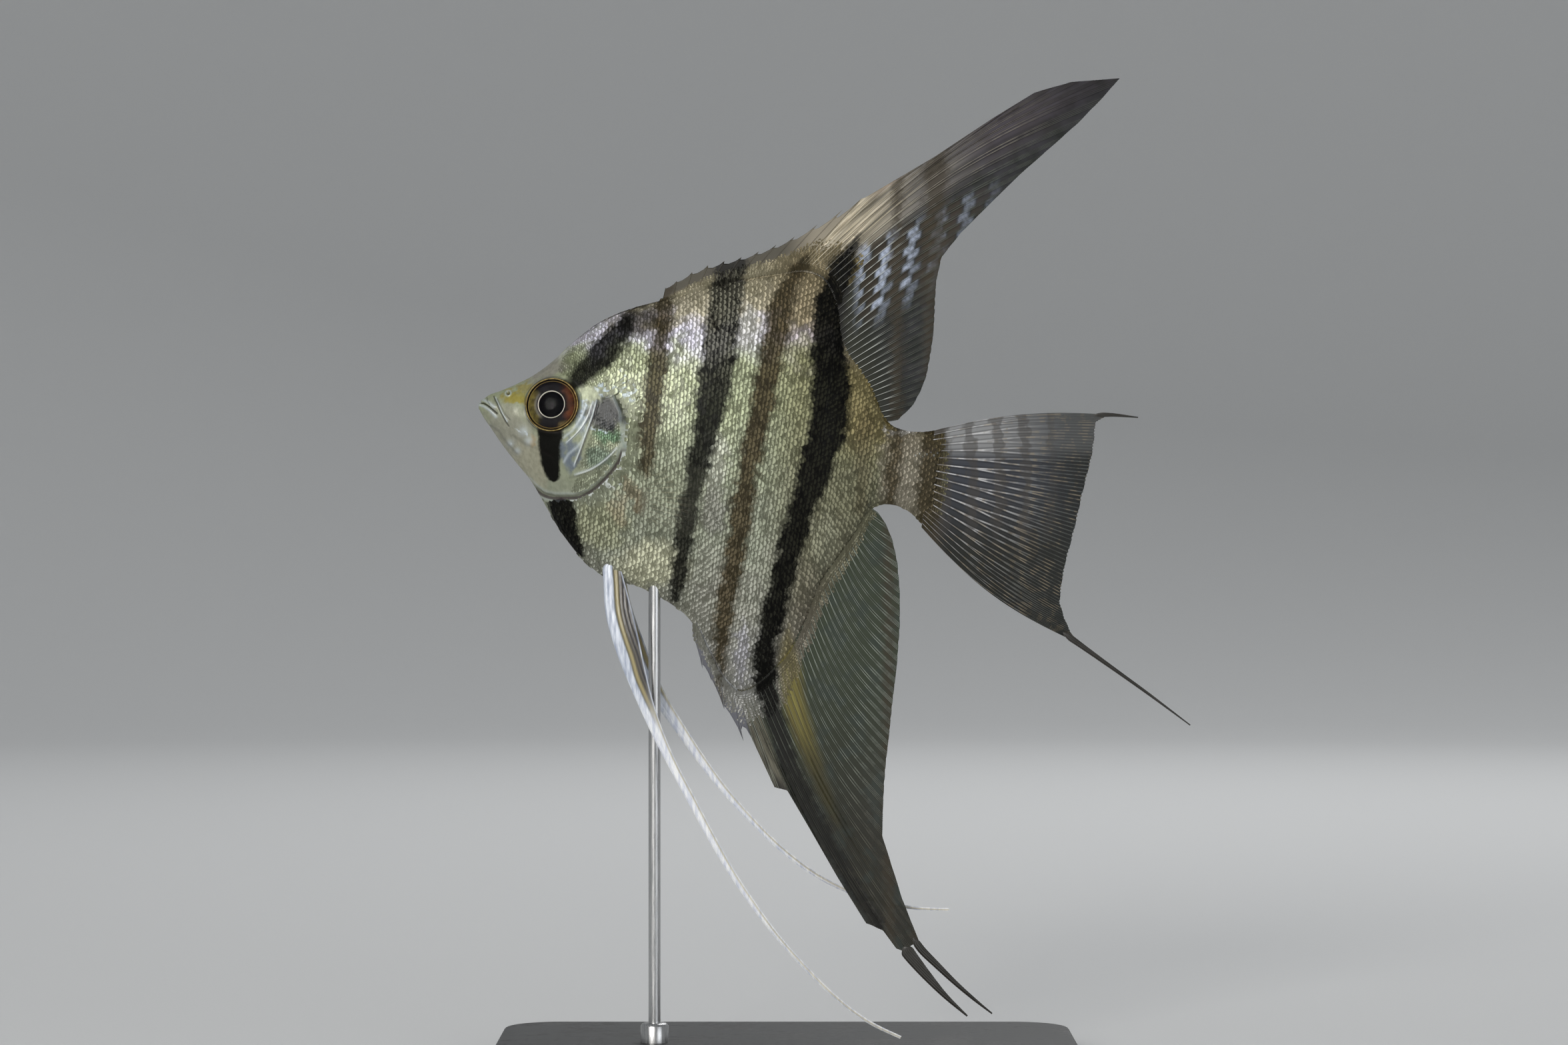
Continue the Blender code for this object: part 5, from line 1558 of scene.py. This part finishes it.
def pelvic_material():
    material, tree, shader = new_material("pelvic fin")
    place = place_in_mm(tree)
    white, gold, lines = parts_of(stored(tree, "tint"))
    streak = cloud(place, 0.9, 3.0, stretch=(2.2, 2.2, 0.35))
    web = blend(lines, rgb(30, 31, 40), rgb(92, 86, 76))
    upper = smooth_step(parts_of(place)[2], 52.0, 66.0)
    blade = blend(streak, rgb(206, 211, 226), rgb(250, 251, 252))
    blade = blend(upper, blade, blend(streak, rgb(164, 173, 192), rgb(222, 228, 238)))
    colour = blend(white, web, blade)
    colour = blend(gold * 0.75, colour, rgb(182, 168, 116))
    set_inputs(shader, Base_Color=colour, Roughness=smooth_step(streak, 0.0, 1.0, 0.42, 0.3),
               Coat_Weight=0.2, Subsurface_Weight=0.15, Subsurface_Radius=(0.0008, 0.0008, 0.001))
    add_bump(shader, streak, 0.2, 0.08)
    return material


def streamer_material():
    material, tree, shader = new_material("fin thread")
    place = place_in_mm(tree)
    _, gold, lines = parts_of(stored(tree, "tint"))
    colour = blend(lines * 0.7, rgb(20, 19, 18), rgb(62, 60, 55))
    colour = blend(gold * 0.5, colour, rgb(84, 76, 52))
    colour = blend(cloud(place, 0.6) * 0.25, colour, rgb(66, 64, 64))
    set_inputs(shader, Roughness=0.38, Base_Color=colour)
    return material


def iris_material():
    """Black above and below, olive gold in front and rust behind, inside a golden rim."""
    material, tree, shader = new_material("iris")
    a, b, _ = parts_of(stored(tree, "face"))
    radius = calc("SQRT", a * a + b * b)
    place = place_in_mm(tree)
    flow = cloud(place, 1.3, 4.0, 0.65)
    slant = (a + b * 0.12) / calc("MAXIMUM", radius, 0.3)
    front = smooth_step(slant, -0.55, -0.84)
    back = smooth_step(slant, 0.5, 0.86)
    outer = smooth_step(radius, 2.9, 3.6)
    colour = blend(flow, rgb(6, 5, 7), rgb(17, 15, 19))
    olive = blend(flow, rgb(40, 36, 15), rgb(88, 79, 38))
    olive = fade(radius, 3.0, 2.5, olive, rgb(84, 82, 76))
    rust = blend(flow, rgb(30, 17, 12), rgb(76, 41, 22))
    rust = fade(radius, 3.0, 2.4, rust, rgb(13, 9, 10))
    colour = blend(front * smooth_step(radius, 2.2, 2.7), colour, olive)
    colour = blend(back, colour, rust)
    low = smooth_step(b, -2.4, -3.2) * (outer * smooth_step(a, 0.9, 1.6))
    colour = blend(low * 0.35, colour, rgb(124, 106, 66))
    line = smooth_step(abs(radius - 3.9), 0.1, 0.02)
    colour = blend(line * 0.6, colour, rgb(130, 108, 62))
    open_side = 1.0 - back * 0.85
    ring = smooth_step(radius, 3.98, 4.04) * open_side
    colour = blend(ring, colour, rgb(13, 10, 9))
    rim = smooth_step(abs(radius - RIM_RADIUS), 0.14, 0.06)
    gold = blend(flow, rgb(92, 76, 42), rgb(166, 148, 98))
    colour = blend(rim, colour, gold)
    ring = smooth_step(abs(radius - (PUPIL_RADIUS + 0.12)), 0.09, 0.03)
    pupil = smooth_step(radius, PUPIL_RADIUS + 0.04, PUPIL_RADIUS - 0.02)
    colour = blend(ring * 0.9, colour, rgb(190, 184, 172))
    colour = blend(pupil, colour, rgb(2, 2, 4))
    set_inputs(shader, Base_Color=colour, Metallic=rim * 0.5, Specular_IOR_Level=0.06,
               Roughness=smooth_step(rim, 0.0, 1.0, 0.55, 0.33))
    add_bump(shader, flow, 0.15, 0.06)
    return material


def cornea_material():
    """A clear dome that lets the lamps through to the iris."""
    material, tree, shader = new_material("cornea")
    set_inputs(shader, Base_Color=(1, 1, 1, 1), Roughness=0.0, IOR=1.07, Transmission_Weight=1.0)
    clear = add_node("BsdfTransparent", {}, tree)
    path = add_node("LightPath", {}, tree)
    shadow = Wire(path.outputs["Is Shadow Ray"])
    mix = add_node("MixShader", {0: shadow, 1: Wire(shader.outputs[0]), 2: Wire(clear.outputs[0])})
    connect(tree.nodes["Material Output"].inputs["Surface"], Wire(mix.outputs[0]))
    return material


# ------------------------------------------------------------------ stand and studio

FERRULE_HEIGHT, FERRULE_RADIUS = 3.2, 2.3
BASE_CORNER, BASE_EDGE, BASE_FOOT = 9.0, 0.6, 0.35
CORNER_STEPS, EDGE_STEPS, POLE_TURNS = 16, 8, 64


def base_material():
    material, tree, shader = new_material("satin black paint")
    place = place_in_mm(tree)
    peel = cloud(place, 1.1, 3.0)
    dust = smooth_step(cloud(place, 0.12, 4.0, 0.7), 0.4, 1.0)
    set_inputs(shader, Base_Color=blend(dust * 0.35, rgb(26, 26, 27), rgb(48, 47, 46)),
               Roughness=smooth_step(dust, 0.0, 1.0, 0.34, 0.48))
    add_bump(shader, peel, 0.12, 0.06)
    return material


def steel_material():
    material, tree, shader = new_material("brushed steel")
    place = place_in_mm(tree)
    brush = cloud(place, 6.0, 3.0, 0.7, stretch=(1.0, 1.0, 0.03))
    set_inputs(shader, Metallic=1.0, Base_Color=blend(brush, rgb(176, 177, 178), rgb(208, 208, 208)),
               Roughness=smooth_step(brush, 0.0, 1.0, 0.24, 0.36))
    add_bump(shader, brush, 0.08, 0.03)
    return material


def make_stand():
    base_low, base_high = [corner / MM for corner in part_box("stand_base")]
    rod_low, rod_high = [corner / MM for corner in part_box("stand_rod")]
    steel = steel_material()
    middle, reach = (base_low + base_high) / 2, (base_high - base_low) / 2
    layers = [(BASE_FOOT, base_low.z), (0.0, base_low.z + BASE_FOOT), (0.0, base_high.z - BASE_EDGE)]
    for i in range(1, EDGE_STEPS + 1):
        turn = math.pi / 2 * i / EDGE_STEPS
        layers.append((BASE_EDGE * (1 - math.cos(turn)), base_high.z - BASE_EDGE * (1 - math.sin(turn))))
    rings = []
    for inset, z in layers:
        ring = []
        radius = BASE_CORNER - inset
        for quarter, (sign_x, sign_y) in enumerate(((1, 1), (-1, 1), (-1, -1), (1, -1))):
            for i in range(CORNER_STEPS + 1):
                turn = math.pi / 2 * (quarter + i / CORNER_STEPS)
                ring.append((middle.x + sign_x * (reach.x - BASE_CORNER) + radius * math.cos(turn),
                             middle.y + sign_y * (reach.y - BASE_CORNER) + radius * math.sin(turn), z))
        rings.append(ring)
    ring_piece("stand_plate", np.array(rings), base_material(), ("stand_base",),
               sharp=40, mapped=False)
    centre, radius = (rod_low + rod_high) / 2, (rod_high.x - rod_low.x) / 2
    top = base_high.z + FERRULE_HEIGHT
    pole = [(radius, base_high.z - 0.5), (radius, rod_high.z)]
    ferrule = [
        (FERRULE_RADIUS, base_high.z - 0.1), (FERRULE_RADIUS, top - 0.5),
        (FERRULE_RADIUS - 0.25, top - 0.12), (FERRULE_RADIUS - 0.5, top), (radius, top),
    ]
    for name, profile, replaced in (("pole", pole, ("stand_rod",)), ("ferrule", ferrule, ())):
        ring_piece(f"stand_{name}", turned(profile, POLE_TURNS) + np.array([centre.x, centre.y, 0]), steel,
                   replaced, sharp=35, mapped=False)


# The studio, in metres. The floor lies just under the stand. Each lamp has its place, size, power
# and colour.
FLOOR_RADIUS, WALL_RADIUS, WALL_HEIGHT = 1.1, 1.8, 1.5
FLOOR_TURNS, FLOOR_BEND_STEPS, FLOOR_GAP = 128, 16, 0.00004
LAMP_TARGET = (0, 0, 0.1)
LAMPS = {
    "key lamp": ((-0.45, -1.1, 0.45), 0.5, 8.4, (1.0, 0.98, 0.94)),
    "fill lamp": ((0.8, -0.9, 0.12), 0.7, 3.4, (0.94, 0.97, 1.0)),
    "back lamp": ((0.3, 0.8, 0.85), 0.6, 5.0, (1.0, 1.0, 1.0)),
}
CAMERA_PLACE = (-0.00044, -0.7187, 0.08976)
CAMERA_LENS, CAMERA_SENSOR = 100.0, 36.0


def make_studio():
    """A round sweep of pale floor that rises into a wall, and the world's soft light."""
    material, tree, shader = new_material("studio paper")
    shade = cloud(place_in_mm(tree), 2.0)
    set_inputs(shader, Roughness=0.85, Base_Color=blend(shade, rgb(214, 215, 216), rgb(216, 217, 217)))
    bend = WALL_RADIUS - FLOOR_RADIUS
    profile = [(0.0005, 0.0), (FLOOR_RADIUS, 0.0)]
    for i in range(1, FLOOR_BEND_STEPS + 1):
        turn = math.pi / 2 * i / FLOOR_BEND_STEPS
        profile.append((FLOOR_RADIUS + bend * math.sin(turn), bend * (1 - math.cos(turn))))
    profile.append((WALL_RADIUS, WALL_HEIGHT))
    points = turned(profile, FLOOR_TURNS) - np.array([0, 0, FLOOR_GAP])
    faces = grid_faces(len(profile), FLOOR_TURNS, closed=True)[0].tolist()
    floor = smooth_object("studio_floor", points, faces, material)
    world = bpy.data.worlds.new("studio air")
    world.use_nodes = True
    set_inputs(world.node_tree.nodes["Background"], Color=(0.80, 0.83, 0.86, 1), Strength=0.3)
    bpy.context.scene.world = world


def make_lamps():
    for name, (place, size, power, colour) in LAMPS.items():
        light = bpy.data.lights.new(name, "AREA")
        light.size = size
        light.energy = power
        light.color = colour
        lamp = new_object(name, light)
        lamp.location = place
        lamp.rotation_euler = (Vector(LAMP_TARGET) - Vector(place)).to_track_quat("-Z", "Y").to_euler()


def make_camera():
    bpy.context.scene.view_settings.view_transform = "Standard"
    camera = bpy.data.cameras.new("camera")
    camera.lens = CAMERA_LENS
    camera.sensor_width = CAMERA_SENSOR
    camera.clip_start, camera.clip_end = 0.01, 20
    holder = new_object("camera", camera)
    holder.location = CAMERA_PLACE
    holder.rotation_euler = (math.pi / 2, 0, 0)
    bpy.context.scene.camera = holder


# ------------------------------------------------------------------ the whole fish


def main():
    bars, rays, fibres = bars_group(), rays_group(), fibres_group()
    colours = colour_group(bars)
    side = left_skin()
    make_skin(side, skin_material(colours, head_lines_group()))
    scales = scale_material(colours)
    make_body_scales(side, "flank", scales)
    make_body_scales(side, "cheek", scales)
    make_fin_base_scales(scales)
    make_edge_fins({
        "dorsal": dorsal_material(bars, rays, fibres),
        "dorsal_spines": spines_material("dorsal spines", bars, rays, rgb(156, 145, 116), rgb(86, 82, 72),
                                         rgb(112, 106, 92)),
        "anal": anal_material(bars, rays, fibres),
        "anal_spines": spines_material("anal spines", bars, rays, rgb(148, 150, 150), rgb(100, 101, 108),
                                       rgb(142, 144, 144)),
    })
    make_tail_fin(tail_material(bars, rays))
    make_pectoral_fins(pectoral_material(rays))
    make_pelvic_fins(pelvic_material())
    make_streamers(streamer_material())
    make_eyes(iris_material(), cornea_material())
    make_stand()
    make_studio()
    make_lamps()
    make_camera()


main()
